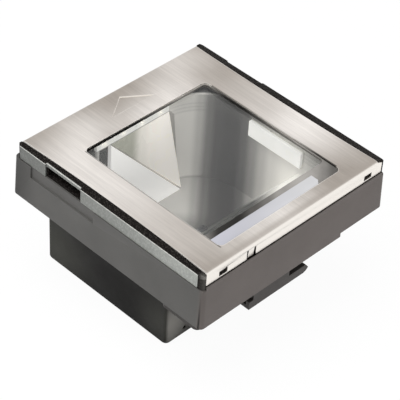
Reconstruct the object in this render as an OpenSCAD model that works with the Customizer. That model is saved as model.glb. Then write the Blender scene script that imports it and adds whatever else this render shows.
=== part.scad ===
// Compact in-counter barcode scanner. A folded steel cover with a glass window sits on a plastic
// frame. Under it are a shallow upper housing and a narrower, deeper lower housing, which hold
// the light, the mirrors, the imager and the boards.
// Origin: centre of the footprint, at the underside. +Z is up, and the front is towards -Y.

/* [Cover] */
// Width of the folded steel cover
cover_w = 145.8; // [140:0.2:150]
// Depth of the cover over its front and back flanges
cover_d = 152.4; // [148:0.2:158]
// Thickness of the steel sheet
cover_t = 1; // [0.8:0.1:1.4]
// Height of the front and back flanges
flange_h = 9.7; // [8.5:0.1:10.5]
// How far the plate's left corners reach past the flange's end
sheet_over = 1.2; // [0.8:0.1:1.4]
// How far the plate's right corners stop short of the flange's end
sheet_short = 3.9; // [3:0.1:4.6]
// How far each side edge of the plate bows inwards in its middle
sheet_bow = 1.2; // [0.6:0.1:1.4]
// Outside radius of the fold between the plate and a flange
fold_r = 1.6; // [1.4:0.1:2.4]
// Width of a latch slot in a flange
slot_w = 6.6; // [4:0.2:10]
// Height of a latch slot in a flange
slot_h = 3.5; // [1.5:0.1:3.6]
// Distance of a latch slot's centre from the side of the cover
slot_in = 12.1; // [8:0.1:20]
// Distance of the bent lock tab from the middle of the front flange
tab_x = 38.4; // [20:0.2:50]
// Width of the lock tab
tab_w = 4.6; // [3:0.2:8]
// Width of the slits beside the lock tab
slit_w = 1.4; // [0.6:0.1:1.6]
// How far the lock tab is bent inwards
tab_bend = 0.5; // [0.4:0.1:1.2]
// Width of the pressed pointer's base
pointer_w = 33.8; // [20:0.2:45]
// Length of the pressed pointer
pointer_l = 11.6; // [6:0.2:14]
// Depth of the pressed pointer
pointer_depth = 0.4; // [0.2:0.05:0.6]
// Gap between the window and the pointer's base
pointer_gap = 11.6; // [6:0.2:14]

/* [Window] */
// Width of the cover's plate to the left of the opening
win_left = 19.5; // [17:0.1:24]
// Width of the cover's plate to the right of the opening
win_right = 25.9; // [23:0.1:30]
// Width of the cover's plate in front of the opening
win_front = 10; // [9.5:0.05:14]
// Width of the cover's plate behind the opening
win_back = 30.55; // [28:0.05:34]
// Corner radius of the opening
win_r = 3.5; // [2:0.1:6]
// Thickness of the glass
glass_t = 3; // [2.4:0.1:3.4]
// How far the glass reaches past the opening
glass_lap = 5; // [4:0.2:6]
// Thickness of the gasket between the cover and the glass
gasket_t = 0.5; // [0.3:0.1:0.8]
// Width of the gasket that shows inside the opening
gasket_show = 0.5; // [0.2:0.1:1]
// Depth of the gasket's wide front band
band_d = 12.6; // [8:0.2:14]
// Length of the bare name strip
strip_l = 83.6; // [60:0.2:95]
// Depth of the bare name strip
strip_d = 8; // [5:0.2:9]
// Thickness of the bare name strip
strip_t = 0.8; // [0.5:0.1:0.9]

/* [Frame] */
// Width of the sloping rail on each side of the cover
rail_w = 3.3; // [2.6:0.1:4.4]
// Height that the rail slopes down over
rail_drop = 3.2; // [2.6:0.1:4]
// Height of the frame's side below the rail
trim_h = 9.8; // [9:0.1:12]
// Thickness of the side trim strips
trim_t = 1.2; // [0.8:0.1:1.4]
// Wall thickness of the frame
frame_wall = 2.8; // [2.6:0.1:3.6]
// Radius of the frame's upright corners
frame_r = 3; // [2:0.1:4]
// How far the frame stands out behind the cover
frame_back = 2.6; // [1.6:0.1:3.4]
// Thickness of the ledge under the glass
ledge_t = 2; // [1.6:0.1:2.6]
// How far the ledge's opening is larger than the cover's
ledge_back = 1.8; // [1.2:0.1:2.4]
// Length of the finger notch
notch_l = 30.4; // [20:0.2:36]
// Distance of the finger notch from the middle, towards the back
notch_y = 38.9; // [10:0.2:44]
// Depth of the finger notch
notch_depth = 9.2; // [6:0.2:10]

/* [Upper housing] */
// Height of the upper housing, from its skirt to its rim
upper_h = 28; // [27:0.5:32]
// Height of the skirt below the upper housing's floor
skirt_h = 2.9; // [1.6:0.1:3.2]
// How far the housing's rim stands out of the frame in front and at the sides
house_out = 0.8; // [0.4:0.1:1.2]
// How far the housing's rim stands out behind the cover
back_ext = 4.6; // [3.8:0.1:6]
// How far each wall flares out on its way down
flare = 0.8; // [0.2:0.1:1.2]
// Wall thickness of both housings
wall = 2.5; // [2.2:0.1:3]
// Floor thickness of both housings
floor_t = 3; // [2.4:0.1:3.4]
// Radius of the upper housing's upright corners
upper_r = 3; // [2:0.1:5]
// Height of the thin lip in front of the front flange
lip_h = 2.6; // [2.2:0.1:5]
// Depth of the shallow recess under each finger notch
recess_depth = 0.8; // [0.4:0.1:1.2]
// Length of the shallow recess
recess_l = 54.4; // [40:0.2:60]
// Height of the shallow recess below the rim
recess_h = 8; // [5:0.2:12]
// Length of the gap at the right end of the front skirt
gap_l = 36.2; // [20:0.2:50]

/* [Lower housing] */
// Height of the lower housing
lower_h = 58.9; // [56:0.1:64]
// Gap between the optics well and the lower housing's side wall
tub_gap = 0.3; // [0.2:0.1:1]
// Distance of the lower housing's front behind the cover's front
front_step = 40.8; // [39:0.1:43]
// Distance of the lower housing's back in front of the cover's back
back_step = 6.2; // [5:0.1:8]
// How far each wall leans out on its way up
lean = 0.4; // [0.1:0.1:0.8]
// Radius of the lower housing's upright corners
lower_r = 3; // [2:0.2:5]
// Radius of the lower housing's bottom edge
foot_r = 1.6; // [1:0.2:3]
// Width of the flange that carries the lower housing
lug_w = 9; // [8.5:0.2:11]

/* [Bracket and front plate] */
// Length of the front bracket
bracket_l = 51.2; // [44:0.2:56]
// Sideways offset of the bracket from the middle
bracket_x = -9.4; // [-14:0.2:4]
// Height that the bracket hangs below the skirt
bracket_h = 13.2; // [10:0.2:16]
// Depth of the bracket's channel
bracket_d = 12.5; // [11:0.5:14]
// Wall thickness of the bracket
bracket_t = 2.6; // [2:0.1:3.2]
// Length of the lip's low step at the left end
left_step = 3.4; // [2:0.2:8]
// Length of the lip's low step at the right end
right_step = 17.6; // [8:0.2:20]
// Height of the bracket's lip at its ends
step_h = 5.8; // [4:0.2:7]
// Height that the front plate hangs below the skirt
plate_h = 3.4; // [2.4:0.2:5]
// Thickness of the front plate and its rims
plate_t = 2; // [1.6:0.1:2.4]
// Distance of the front plate from the housing's left face
plate_in_x = 0.9; // [0.4:0.1:1.4]
// Distance of the front plate from the housing's front face
plate_in_y = 3.2; // [3.1:0.1:5]

/* [Optics] */
// Wall thickness of the optics well
well_wall = 2; // [1.6:0.1:2.4]
// Radius of the well's wide back right corner
well_bend = 34; // [24:1:38]
// Height of the well's deep floor above the underside
well_floor = 23.6; // [22.6:0.2:26]
// Distance of the mirrors' top edge from the well's left wall
mirror_in = 26.2; // [22:0.2:32]
// How much wider the mirrors are at the bottom, on each side
mirror_splay = 6.8; // [4:0.2:7]
// Thickness of the mirrors
mirror_t = 3; // [2:0.1:3.4]
// How far the mirrors lean back
mirror_tilt = 7.2; // [5:0.2:9]
// Gap between the two mirrors
mirror_gap = 0.4; // [0.2:0.1:0.8]
// Distance of the light bar from the well's left wall
bar_in = 14.4; // [8:0.2:16]
// Height of the light bar
bar_h = 5; // [4.4:0.1:5.2]
// Number of lamps in the light bar
bar_lamps = 4; // [2:1:6]
// Length of the side light
side_l = 43; // [30:0.5:48]
// Height of the side light
side_h = 11.5; // [8:0.5:14]
// Number of lamps in the side light
side_lamps = 5; // [2:1:7]
// Radius of the imager's lens barrel
barrel_r = 7; // [5:0.2:8]
// Upward tilt of the imager
imager_tilt = 23; // [18:0.5:28]

/* [Boards and ports] */
// Thickness of the circuit boards
board_t = 1.6; // [1:0.1:2]
// Distance of the main board's screws outside the threaded inserts
board_screw_out = 5.5; // [5:0.1:7]
// Height of the main board above the lower housing's floor
main_lift = 5; // [4.6:0.2:6]
// Width of a modular socket
jack_w = 15.2; // [14:0.2:17]
// Height of a modular socket
jack_h = 12.6; // [11.6:0.2:13]
// Radius of the power socket's bore
power_r = 3.2; // [2.8:0.1:3.6]
// Spacing of the threaded inserts in the underside
insert_pitch = 75; // [70:1:80]
// Radius of the inserts' thread
insert_r = 2; // [1.5:0.1:2.5]
// Depth of the inserts
insert_l = 5.5; // [4.5:0.1:6]
// Shank radius of the small screws
screw_r = 1.5; // [1.2:0.1:1.7]
// Running gap between pieces that slide into each other
fit = 0.1; // [0.05:0.05:0.2]

/* [Hidden] */
$fn = 48;
hull_fn = 32;
eps = 0.01;
cut = 1;

// Heights of the stack, from the underside up
z_floor = lower_h;
z_skirt = z_floor - skirt_h;
z_inside = z_floor + floor_t;
z_rim = z_skirt + upper_h;
z_edge = z_rim + trim_h;
z_top = z_edge + rail_drop;
z_deck = z_top - cover_t;
z_glass_top = z_deck - gasket_t;
z_glass = z_glass_top - glass_t;
z_ledge = z_glass - ledge_t;

// Outlines in plan
frame_w = cover_w + 2 * rail_w;
hx = frame_w / 2;
hy = cover_d / 2;
slot_x = cover_w / 2 - slot_in;
sheet_x0 = -cover_w / 2 - sheet_over;
sheet_x1 = cover_w / 2 - sheet_short;
gap_x = hx - gap_l;
win_x0 = -cover_w / 2 + win_left;
win_x1 = cover_w / 2 - win_right;
win_y0 = -hy + win_front;
win_y1 = hy - win_back;
win_x = (win_x0 + win_x1) / 2;
cavity_x = hx + house_out - wall;
cavity_y0 = -hy - house_out + wall;
cavity_y1 = hy + back_ext - wall;
well_in_x = 2;
low_x = -win_x0 + well_in_x + well_wall + tub_gap + wall;
low_y0 = -hy + front_step;
low_y1 = hy - back_step;
lower_y = (low_y0 + low_y1) / 2;
tub_x = low_x - wall;
tub_y0 = low_y0 + wall;
tub_y1 = low_y1 - wall;

// The optics well
well_out_x = 6;
well_in_y = -0.35;
well_out_y = 5.4;
shelf_h = 4.7;
slope_in = 2.3;
slope_run = 34;
well_x0 = win_x0 - well_in_x;
well_x1 = win_x1 + well_out_x;
well_y0 = win_y0 - well_in_y;
well_y1 = win_y1 + well_out_y;
well_r = 6;
well_gap = 0.3;
z_well_top = z_ledge - well_gap;
z_shelf = z_inside + shelf_h;
slope_y0 = tub_y0 + slope_in;
slope_y1 = slope_y0 + slope_run;
slope_angle = atan2(z_shelf - well_floor, slope_y1 - slope_y0);
slope_shift = well_wall * tan(slope_angle / 2);

// The mirrors, which lean against a carrier on the well's back wall
mirror_fit = 0.1;
bar_z = z_well_top - mirror_fit - bar_h;
mirror_x0 = well_x0 + mirror_in;
mirror_x1 = well_x1 - well_bend + 2 * mirror_fit;
mirror_x = (mirror_x0 + mirror_x1) / 2;
mirror_top_w = mirror_x1 - mirror_x0;
mirror_low_w = mirror_top_w + 2 * mirror_splay;
mirror_top_y = well_y1 - mirror_t;
mirror_z = well_floor + mirror_t * sin(mirror_tilt) + mirror_fit;
mirror_h = bar_z - mirror_gap - mirror_z;
mirror_foot_y = mirror_top_y - mirror_h * tan(mirror_tilt);
mirror_len = mirror_h / cos(mirror_tilt);
carrier_drop = 1.2;

// The lights
bar_x0 = well_x0 + bar_in;
bar_x1 = well_x1 - well_bend - 2 * mirror_fit;
bar_l = bar_x1 - bar_x0;
bar_x = (bar_x0 + bar_x1) / 2;
bar_t = 2.2;
lamp_board_t = 0.8;
lamp_w = 2.8;
lamp_t = 1;
lamp_h = 2.2;
lamp_gap = 0.3;
side_in = 7.15;
side_drop = 17;
side_y = well_y1 - well_bend - side_in - side_l / 2;
side_z = z_well_top - side_drop;
side_t = 2.2;

// The imager, whose axis goes through the sloping wall of the well
imager_x = mirror_x;
imager_y = slope_y0 + 0.76 * (slope_y1 - slope_y0);
imager_z = z_shelf - (imager_y - slope_y0) * tan(slope_angle);
imager_w = 24;
imager_back = 19;
imager_half = 11;
sensor_w = 9;
sensor_d = 7;
sensor_t = 1;
barrel_wall = 1.6;
lens_t = 3.4;
lens_in = 4.6;
ribbon_w = 12;
ribbon_t = 0.3;
ribbon_out = 3.2;
ribbon_bend = 2.4;

// The main board and the sockets on its back edge
main_front = 7;
main_back = 2.6;
board_edge = 5;
jack_screw_in = 22;
main_z = floor_t + main_lift;
main_y0 = tub_y0 + main_front;
main_y1 = tub_y1 - main_back;
main_d = main_y1 - main_y0;
main_r = 2;
board_hole_x = insert_pitch / 2 + board_screw_out;
main_w = 2 * (board_hole_x + board_edge);
board_hole_y0 = main_y0 + board_edge;
board_hole_y1 = main_y1 - jack_screw_in;
post_r = 3.4;
jack_d = 12.8;
jack_in = 0.6;
jack_floor = 2.2;
mouth_h = 6.8;
mouth_step = 1.6;
latch_in = 4;
jack_y = low_y1 - jack_in;
interface_x = -26;
service_x = 0;
interface_mouth = 11.8;
service_mouth = 9.8;
power_x = 24;
power_w = 10;
power_h = 11;
power_deep = 10;
pin_r = 1;
chip_t = 1.2;
chip_l = 16;
chip_m = 11;
chip_s = 8;
can_w = 26;
can_d = 24;
can_h = 4;
can_t = 0.4;
beeper_in = 20;
beeper_r = 8.2;
beeper_h = 4.2;
beeper_fit = 0.2;
beeper_rim = 1.2;
sound_r = 0.9;
sound_ring = 3.6;

// Screws
head_r = 1.9 * screw_r;
head_h = 1.5 * screw_r;
lug_t = skirt_h;
lug_r = 6;
dimple_in = 15.4;
dimple_z = 5.6;
dimple_r = 1.3;
skirt_t = wall + 0.4;
lug_x = low_x + lean + lug_w;
lug_y0 = low_y0 - lean - lug_w;
lug_y1 = hy + back_ext + flare - skirt_t - 0.4;
screw_x = low_x + lean + lug_w / 2;
screw_in = 14;
screw_ys = [lug_y0 + screw_in, lower_y, lug_y1 - screw_in];
boss_r = 3.6;
boss_h = 7;
low_boss_h = 2.2;
ear_drop = 7;
ear_in = 6.3;
ear_front = 24.5;
ear_back = 9.3;
ear_pad = 4.5;
ear_z = z_rim - ear_drop;
ear_t = 2.4;
ear_x = cavity_x - ear_in;
ear_ys = [cavity_y0 + ear_front, lower_y - ear_back];
ear_screw_l = 8;
ear_hole_l = 10;
slot_drop = 6.9;
rail_end = 1.5;
tab_slot_z = z_top - slot_drop;

// The bracket
bracket_x0 = bracket_x - bracket_l / 2;
bracket_x1 = bracket_x + bracket_l / 2;
bracket_in_y = 0.7;
bracket_y0 = -hy + bracket_in_y;
bracket_y1 = bracket_y0 + bracket_d;
bracket_z = z_skirt - bracket_h;
bracket_foot = 11;
bracket_lip_gap = 0.3;
bracket_screw_in = 10;
bracket_rib = 1.6;
bracket_screw_y = bracket_y1 + bracket_foot / 2;

// The front plate
plate_x0 = -hx - house_out - flare + plate_in_x;
plate_x1 = gap_x;
plate_y0 = -hy - house_out - flare + plate_in_y;
plate_y1 = lug_y0 - 2 * tub_gap;
plate_z = z_skirt - plate_h;
plate_r = 3.5;
plate_gap = 1.2;
plate_screw_back = 9;
plate_screw_left = 17;
plate_screw_right = 10;
plate_screw_y = plate_y1 - plate_screw_back;
plate_screw_xs = [plate_x0 + plate_screw_left, plate_x1 - plate_screw_right];

// Everything is drawn about the cover's middle, and shifted so that the footprint is centred
module placed() {
    translate([0, (house_out - back_ext) / 2, 0])
        children();
}

// A rectangle from two corners with round corners
module rounded_outline(x0, x1, y0, y1, r) {
    translate([x0 + r, y0])
        square([x1 - x0 - 2 * r, y1 - y0]);
    translate([x0, y0 + r])
        square([x1 - x0, y1 - y0 - 2 * r]);
    for (x = [x0 + r, x1 - r], y = [y0 + r, y1 - r])
        translate([x, y])
            circle(r);
}

module rounded_plate(x0, x1, y0, y1, r, z0, z1) {
    translate([0, 0, z0])
        linear_extrude(z1 - z0)
            rounded_outline(x0, x1, y0, y1, r);
}

// A box from its lowest and highest corners
module block(low, high) {
    translate(low)
        cube(high - low);
}

// An outline in the YZ plane, drawn from x0 to x1
module side_profile(points, x0, x1) {
    translate([x0, 0, 0])
        rotate([90, 0, 90])
            linear_extrude(x1 - x0)
                polygon(points);
}

// An outline in the XZ plane, drawn from y0 to y1
module front_profile(points, y0, y1) {
    translate([0, y1, 0])
        rotate([90, 0, 0])
            linear_extrude(y1 - y0)
                polygon(points);
}

// A pan-head screw that points up, with its head's seat at the origin
module screw_up(shank) {
    translate([0, 0, -head_h])
        cylinder(h = head_h, r1 = 0.8 * head_r, r2 = head_r);
    cylinder(h = shank, r = screw_r - fit / 2);
}

module screw_down(shank) {
    mirror([0, 0, 1])
        screw_up(shank);
}

// The folded sheet in section: a plate with a rounded fold and a flange at each end
module cover_section() {
    inner_r = fold_r - cover_t;
    for (side = [-1, 1])
        scale([side, 1]) {
            translate([0, z_top - cover_t])
                square([hy - fold_r, cover_t]);
            translate([hy - cover_t, z_top - flange_h])
                square([cover_t, flange_h - fold_r]);
            translate([hy - fold_r, z_top - fold_r])
                difference() {
                    circle(fold_r);
                    circle(inner_r);
                    translate([-2 * fold_r, -2 * fold_r])
                        square([2 * fold_r, 4 * fold_r]);
                    translate([-fold_r, -2 * fold_r])
                        square([3 * fold_r, 2 * fold_r]);
                }
        }
}

// The latch slots and the slits beside the lock tab, cut through the flanges
module flange_cuts() {
    for (x = [-slot_x, slot_x])
        block([x - slot_w / 2, -hy - cut, tab_slot_z - slot_h / 2],
              [x + slot_w / 2, hy + cut, tab_slot_z + slot_h / 2]);
    for (side = [-1, 1])
        translate([-tab_x + side * (tab_w + slit_w) / 2, -hy, z_top - flange_h])
            block([-slit_w / 2, -cut, -cut], [slit_w / 2, cover_t + cut, flange_h - fold_r - 2]);
    block([-tab_x - tab_w / 2, -hy - cut, z_top - flange_h - cut],
          [-tab_x + tab_w / 2, -hy + cover_t + cut, z_top - fold_r - 2]);
}

// The lock tab, bent in about its upper edge
module lock_tab() {
    root = z_top - fold_r - 2;
    low = z_top - flange_h;
    side_profile([
        [-hy, root + eps], [-hy + cover_t, root + eps],
        [-hy + cover_t + tab_bend, low + 2], [-hy + cover_t + tab_bend, low],
        [-hy + tab_bend, low], [-hy + tab_bend, low + 2]
    ], -tab_x - tab_w / 2, -tab_x + tab_w / 2);
}

// The plate's outline in plan, whose side edges bow inwards
module sheet_outline(grow) {
    steps = 24;
    long = hy + 4;
    ys = [for (i = [0:steps]) -long + 2 * long * i / steps];
    function waist(y) = sheet_bow * max(0, 1 - y * y / (hy * hy));
    polygon(concat(
        [for (i = [0:steps]) [sheet_x1 - waist(ys[i]) + grow, ys[i]]],
        [for (i = [0:steps]) [sheet_x0 + waist(ys[steps - i]) - grow, ys[steps - i]]]
    ));
}

// What is cut away beside the plate: bowed edges, and the flange's sloping right end
module sheet_sides() {
    difference() {
        union() {
            front_profile([
                [sheet_x1 - 5, z_deck - eps], [sheet_x1, z_deck - eps], [cover_w / 2 + cut, z_top - 2.9],
                [cover_w / 2 + cut, z_top + cut], [sheet_x1 - 5, z_top + cut]
            ], -hy - cut, hy + cut);
            block([sheet_x0 - cut, -hy - cut, z_deck - eps], [sheet_x0 + 5, hy + cut, z_top + cut]);
        }
        translate([0, 0, z_deck - cut])
            linear_extrude(cover_t + 3 * cut)
                sheet_outline(0);
    }
}

module top_cover() color([0.79, 0.76, 0.74]) placed() {
    base_y = win_y1 + pointer_gap;
    difference() {
        translate([sheet_x0, 0, 0])
            rotate([90, 0, 90])
                linear_extrude(cover_w / 2 - sheet_x0)
                    cover_section();
        sheet_sides();
        rounded_plate(win_x0, win_x1, win_y0, win_y1, win_r, z_top - cover_t - cut, z_top + cut);
        flange_cuts();
        translate([0, 0, z_top - pointer_depth])
            linear_extrude(pointer_depth + cut)
                polygon([
                    [win_x - pointer_w / 2, base_y], [win_x + pointer_w / 2, base_y],
                    [win_x, base_y + pointer_l]
                ]);
    }
    lock_tab();
}

module window_glass() color([0.75, 0.85, 0.85, 0.35]) placed() {
    rounded_plate(win_x0 - glass_lap, win_x1 + glass_lap, win_y0 - glass_lap, win_y1 + glass_lap,
                  win_r + 1, z_glass, z_glass_top);
}

module window_gasket() color([0.07, 0.07, 0.07]) placed() {
    difference() {
        rounded_plate(win_x0 - glass_lap, win_x1 + glass_lap, win_y0 - glass_lap,
                      win_y1 + glass_lap, win_r + 1, z_glass_top, z_deck);
        rounded_plate(win_x0 + gasket_show, win_x1 - gasket_show, win_y0 + band_d,
                      win_y1 - gasket_show, win_r - gasket_show, z_glass_top - cut, z_deck + cut);
    }
}

module name_strip() color([0.8, 0.8, 0.84]) placed() {
    x0 = win_x0 + fit;
    y0 = win_y0 + fit;
    translate([0, 0, z_deck])
        linear_extrude(strip_t)
            intersection() {
                polygon([
                    [x0, y0], [x0 + strip_l - strip_d / 3, y0], [x0 + strip_l, y0 + strip_d / 3],
                    [x0 + strip_l, y0 + strip_d], [x0, y0 + strip_d]
                ]);
                rounded_outline(x0, win_x1, y0, win_y1, win_r);
            }
}

// The frame's outside: sloping rails beside the cover, and corners that slope the same way
module frame_blank() {
    land_x = cover_w / 2 + fit;
    lip_z = z_top - 0.1;
    intersection() {
        rounded_plate(-hx, hx, -hy, hy + frame_back, frame_r, z_rim, z_top + cut);
        front_profile([
            [-hx, z_rim], [-hx, z_edge], [-land_x, lip_z], [sheet_x1 + fit, lip_z],
            [hx, z_edge], [hx, z_rim]
        ], -hy, hy + frame_back);
        side_profile([
            [-hy, z_rim], [-hy, z_edge], [-hy + rail_end, z_top],
            [hy + frame_back - rail_w, z_top], [hy + frame_back, z_edge], [hy + frame_back, z_rim]
        ], -hx, hx);
    }
}

// The pocket behind a finger notch, on the right side
module notch_block() {
    block([hx - notch_depth - 1.6, notch_y - notch_l / 2 - 1.4, z_rim],
          [hx - frame_wall + eps, notch_y + notch_l / 2 + 1.4, z_ledge + eps]);
}

module notch_cut() {
    face_x = hx - trim_t;
    block([face_x, notch_y - notch_l / 2, z_rim - cut], [hx + cut, notch_y + notch_l / 2, z_top]);
    block([hx - notch_depth, notch_y - notch_l / 2 + 1.4, z_rim + 1.2],
          [hx + cut, notch_y + notch_l / 2 - 1.4, z_ledge + 0.5]);
}

// The side trim's outline on the right side: a long strip, and a web behind the notch
module trim_body(grow) {
    face_x = hx - trim_t;
    difference() {
        block([face_x, -hy + 4.7 - grow, z_rim - grow], [hx + grow, hy + 0.3 + grow, z_edge]);
        block([face_x - cut, notch_y - notch_l / 2 + grow, z_rim - cut],
              [hx + cut, notch_y + notch_l / 2 - grow, z_edge + cut]);
    }
    block([face_x - 1.1 - grow, notch_y - notch_l / 2 - 1.7 - grow, z_ledge + 0.5],
          [face_x, notch_y + notch_l / 2 + 1.7 + grow, z_top - rail_drop + 0.6]);
}

module top_frame() color([0.13, 0.12, 0.12]) placed() {
    face_y = hy - cover_t - fit;
    seat_x0 = win_x0 - glass_lap - fit;
    seat_x1 = win_x1 + glass_lap + fit;
    seat_y0 = win_y0 - glass_lap - fit;
    seat_y1 = win_y1 + glass_lap + fit;
    difference() {
        union() {
            difference() {
                frame_blank();
                rounded_plate(-hx + frame_wall, hx - frame_wall, -face_y + frame_wall,
                              face_y - frame_wall, frame_r, z_rim - cut, z_ledge);
            }
            for (side = [0, 1])
                mirror([side, 0, 0])
                    notch_block();
        }
        translate([0, 0, z_deck])
            linear_extrude(cover_t + cut)
                sheet_outline(fit);
        block([sheet_x0 - fit, -hy - cut, z_rim - cut], [cover_w / 2 + fit, -face_y, z_top + cut]);
        block([sheet_x0 - fit, face_y, z_top - flange_h - 0.4],
              [cover_w / 2 + fit, hy + frame_back + cut, z_top + cut]);
        for (side = [-1, 1])
            scale([1, side, 1])
                block([sheet_x0 - fit, face_y - fold_r, z_deck - fold_r], [sheet_x1 + fit, hy, z_top]);
        rounded_plate(seat_x0, seat_x1, seat_y0, seat_y1, win_r + 1, z_glass, z_top);
        rounded_plate(win_x0 - ledge_back, win_x1 + ledge_back, win_y0 - ledge_back,
                      win_y1 + ledge_back, win_r + 1, z_ledge - cut, z_top);
        block([-tab_x - tab_w, -hy, z_top - flange_h - 1],
              [-tab_x + tab_w, -face_y + tab_bend + 0.4, z_top - fold_r - 1.4]);
        for (side = [0, 1])
            mirror([side, 0, 0]) {
                notch_cut();
                trim_body(0.05);
            }
    }
}

module left_trim() color([0.62, 0.64, 0.63]) placed() {
    mirror([1, 0, 0])
        trim_body(0);
}

module right_trim() color([0.62, 0.64, 0.63]) placed() {
    trim_body(0);
}

// The outside of the upper housing, with walls that flare out on their way down
module upper_blank() {
    low_out = house_out + flare;
    hull() {
        rounded_plate(-hx - low_out, hx + low_out, -hy - low_out, hy + back_ext + flare, upper_r,
                      z_skirt, z_skirt + 1, $fn = hull_fn);
        rounded_plate(-hx - house_out, hx + house_out, -hy - house_out, hy + back_ext, upper_r,
                      z_rim - 0.5, z_rim, $fn = hull_fn);
    }
}

// The screws that hold the bracket and the front plate under the housing's floor
module at_bracket_screws() {
    for (side = [-1, 1])
        translate([bracket_x + side * (bracket_l / 2 - bracket_screw_in), bracket_screw_y, 0])
            children();
}

module at_plate_screws() {
    for (x = plate_screw_xs)
        translate([x, plate_screw_y, 0])
            children();
}

module at_front_screws() {
    at_bracket_screws()
        children();
    at_plate_screws()
        children();
}

module upper_housing() color([0.38, 0.38, 0.37]) placed() {
    skirt_x = hx + house_out + flare - skirt_t;
    difference() {
        union() {
            difference() {
                upper_blank();
                rounded_plate(-cavity_x, cavity_x, cavity_y0, cavity_y1, upper_r,
                              z_inside, z_rim + cut);
            }
            block([-hx + 2.2, -hy - house_out, z_rim - 2], [hx - 2.2, -hy - fit, z_rim + lip_h]);
            for (side = [-1, 1], y = screw_ys)
                translate([side * screw_x, y, z_inside - eps])
                    cylinder(h = boss_h, r = boss_r);
            for (side = [-1, 1], y = ear_ys)
                translate([side * ear_x, y, z_inside - eps])
                    cylinder(h = ear_z - z_inside + eps, r = boss_r);
            at_front_screws()
                translate([0, 0, z_inside - eps])
                    cylinder(h = low_boss_h, r = boss_r);
        }
        rounded_plate(-skirt_x, skirt_x, -hy - house_out - flare + skirt_t,
                      hy + back_ext + flare - skirt_t, upper_r, z_skirt - cut, z_floor);
        rounded_plate(-tub_x, tub_x, tub_y0, tub_y1, lower_r, z_floor - cut, z_inside + cut);
        block([gap_x, -hy - 4, z_skirt - cut], [hx + 5, cavity_y0 + 1, z_floor]);
        for (side = [-1, 1]) {
            scale([side, 1, 1])
                block([hx + house_out - recess_depth, notch_y - recess_l / 2, z_rim - recess_h],
                      [hx + 4, notch_y + recess_l / 2, z_rim + cut]);
            for (y = screw_ys)
                translate([side * screw_x, y, z_floor - cut])
                    cylinder(h = boss_h + 2, r = screw_r);
            for (y = ear_ys)
                translate([side * ear_x, y, ear_z - ear_hole_l])
                    cylinder(h = ear_hole_l + cut, r = screw_r);
        }
        at_front_screws()
            translate([0, 0, z_floor - cut])
                cylinder(h = floor_t + low_boss_h - 0.6 + cut, r = screw_r);
    }
}

// The outside of the lower housing, with a round foot and walls that lean out a little
module lower_blank() {
    steps = [[0, foot_r], [0.3 * foot_r, 0.3 * foot_r], [foot_r, 0], [z_floor - 1, -lean]];
    hull()
        for (s = steps)
            rounded_plate(-low_x + s[1], low_x - s[1], low_y0 + s[1], low_y1 - s[1],
                          lower_r, s[0], s[0] + (s[1] < 0 ? 1 : 0.05), $fn = hull_fn);
}

// The holes in the back wall that the sockets look out of
module socket_windows() {
    for (x = [interface_x, service_x])
        block([x - jack_w / 2 - 0.2, low_y1 - wall - cut, main_z + board_t - 0.2],
              [x + jack_w / 2 + 0.2, low_y1 + cut, main_z + board_t + jack_h + 0.2]);
    block([power_x - power_w / 2 - 0.2, low_y1 - wall - cut, main_z + board_t - 0.2],
          [power_x + power_w / 2 + 0.2, low_y1 + cut, main_z + board_t + power_h + 0.2]);
}

module at_inserts() {
    for (x = [-1, 1], y = [-1, 1])
        translate([x * insert_pitch / 2, lower_y + y * insert_pitch / 2, 0])
            children();
}

module at_board_posts() {
    for (x = [-board_hole_x, board_hole_x], y = [board_hole_y0, board_hole_y1])
        translate([x, y, 0])
            children();
}

module beeper_place() {
    translate([-main_w / 2 + beeper_in, main_y0 + 0.285 * main_d, 0])
        children();
}

module lower_housing() color([0.2, 0.2, 0.19]) placed() {
    difference() {
        union() {
            difference() {
                lower_blank();
                rounded_plate(-tub_x, tub_x, tub_y0, tub_y1, lower_r - 1, floor_t, z_floor + cut);
            }
            difference() {
                rounded_plate(-lug_x, lug_x, lug_y0, lug_y1, lug_r, z_floor - lug_t, z_floor);
                rounded_plate(-tub_x, tub_x, tub_y0, tub_y1, lower_r - 1,
                              z_floor - lug_t - cut, z_floor + cut);
            }
            at_board_posts()
                translate([0, 0, floor_t - eps])
                    cylinder(h = main_lift + eps, r = post_r);
            at_inserts()
                translate([0, 0, floor_t - eps])
                    cylinder(h = insert_l + 1.4 - floor_t, r = 2 * insert_r + 0.8);
            beeper_place()
                translate([0, 0, floor_t - eps])
                    difference() {
                        cylinder(h = beeper_rim, r = beeper_r + beeper_fit + beeper_rim);
                        translate([0, 0, -cut])
                            cylinder(h = beeper_rim + 2 * cut, r = beeper_r + beeper_fit);
                    }
        }
        at_board_posts()
            translate([0, 0, floor_t + 1])
                cylinder(h = main_lift, r = screw_r);
        at_inserts()
            translate([0, 0, -cut])
                cylinder(h = insert_l + cut, r = insert_r + 0.9);
        beeper_place()
            for (ring = [[0, 1], [sound_ring, 6]], i = [0:ring[1] - 1])
                rotate(360 * i / ring[1])
                    translate([ring[0], 0, -cut])
                        cylinder(h = floor_t + 2 * cut, r = sound_r, $fn = 16);
        for (side = [-1, 1], y = screw_ys)
            translate([side * screw_x, y, z_floor - lug_t - cut])
                cylinder(h = lug_t + 2 * cut, r = screw_r + 0.2);
        for (side = [-1, 1])
            translate([side * (low_x - dimple_in), low_y0 - cut, dimple_z])
                rotate([-90, 0, 0])
                    cylinder(h = wall / 2 + cut, r = dimple_r);
        socket_windows();
    }
}

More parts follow.
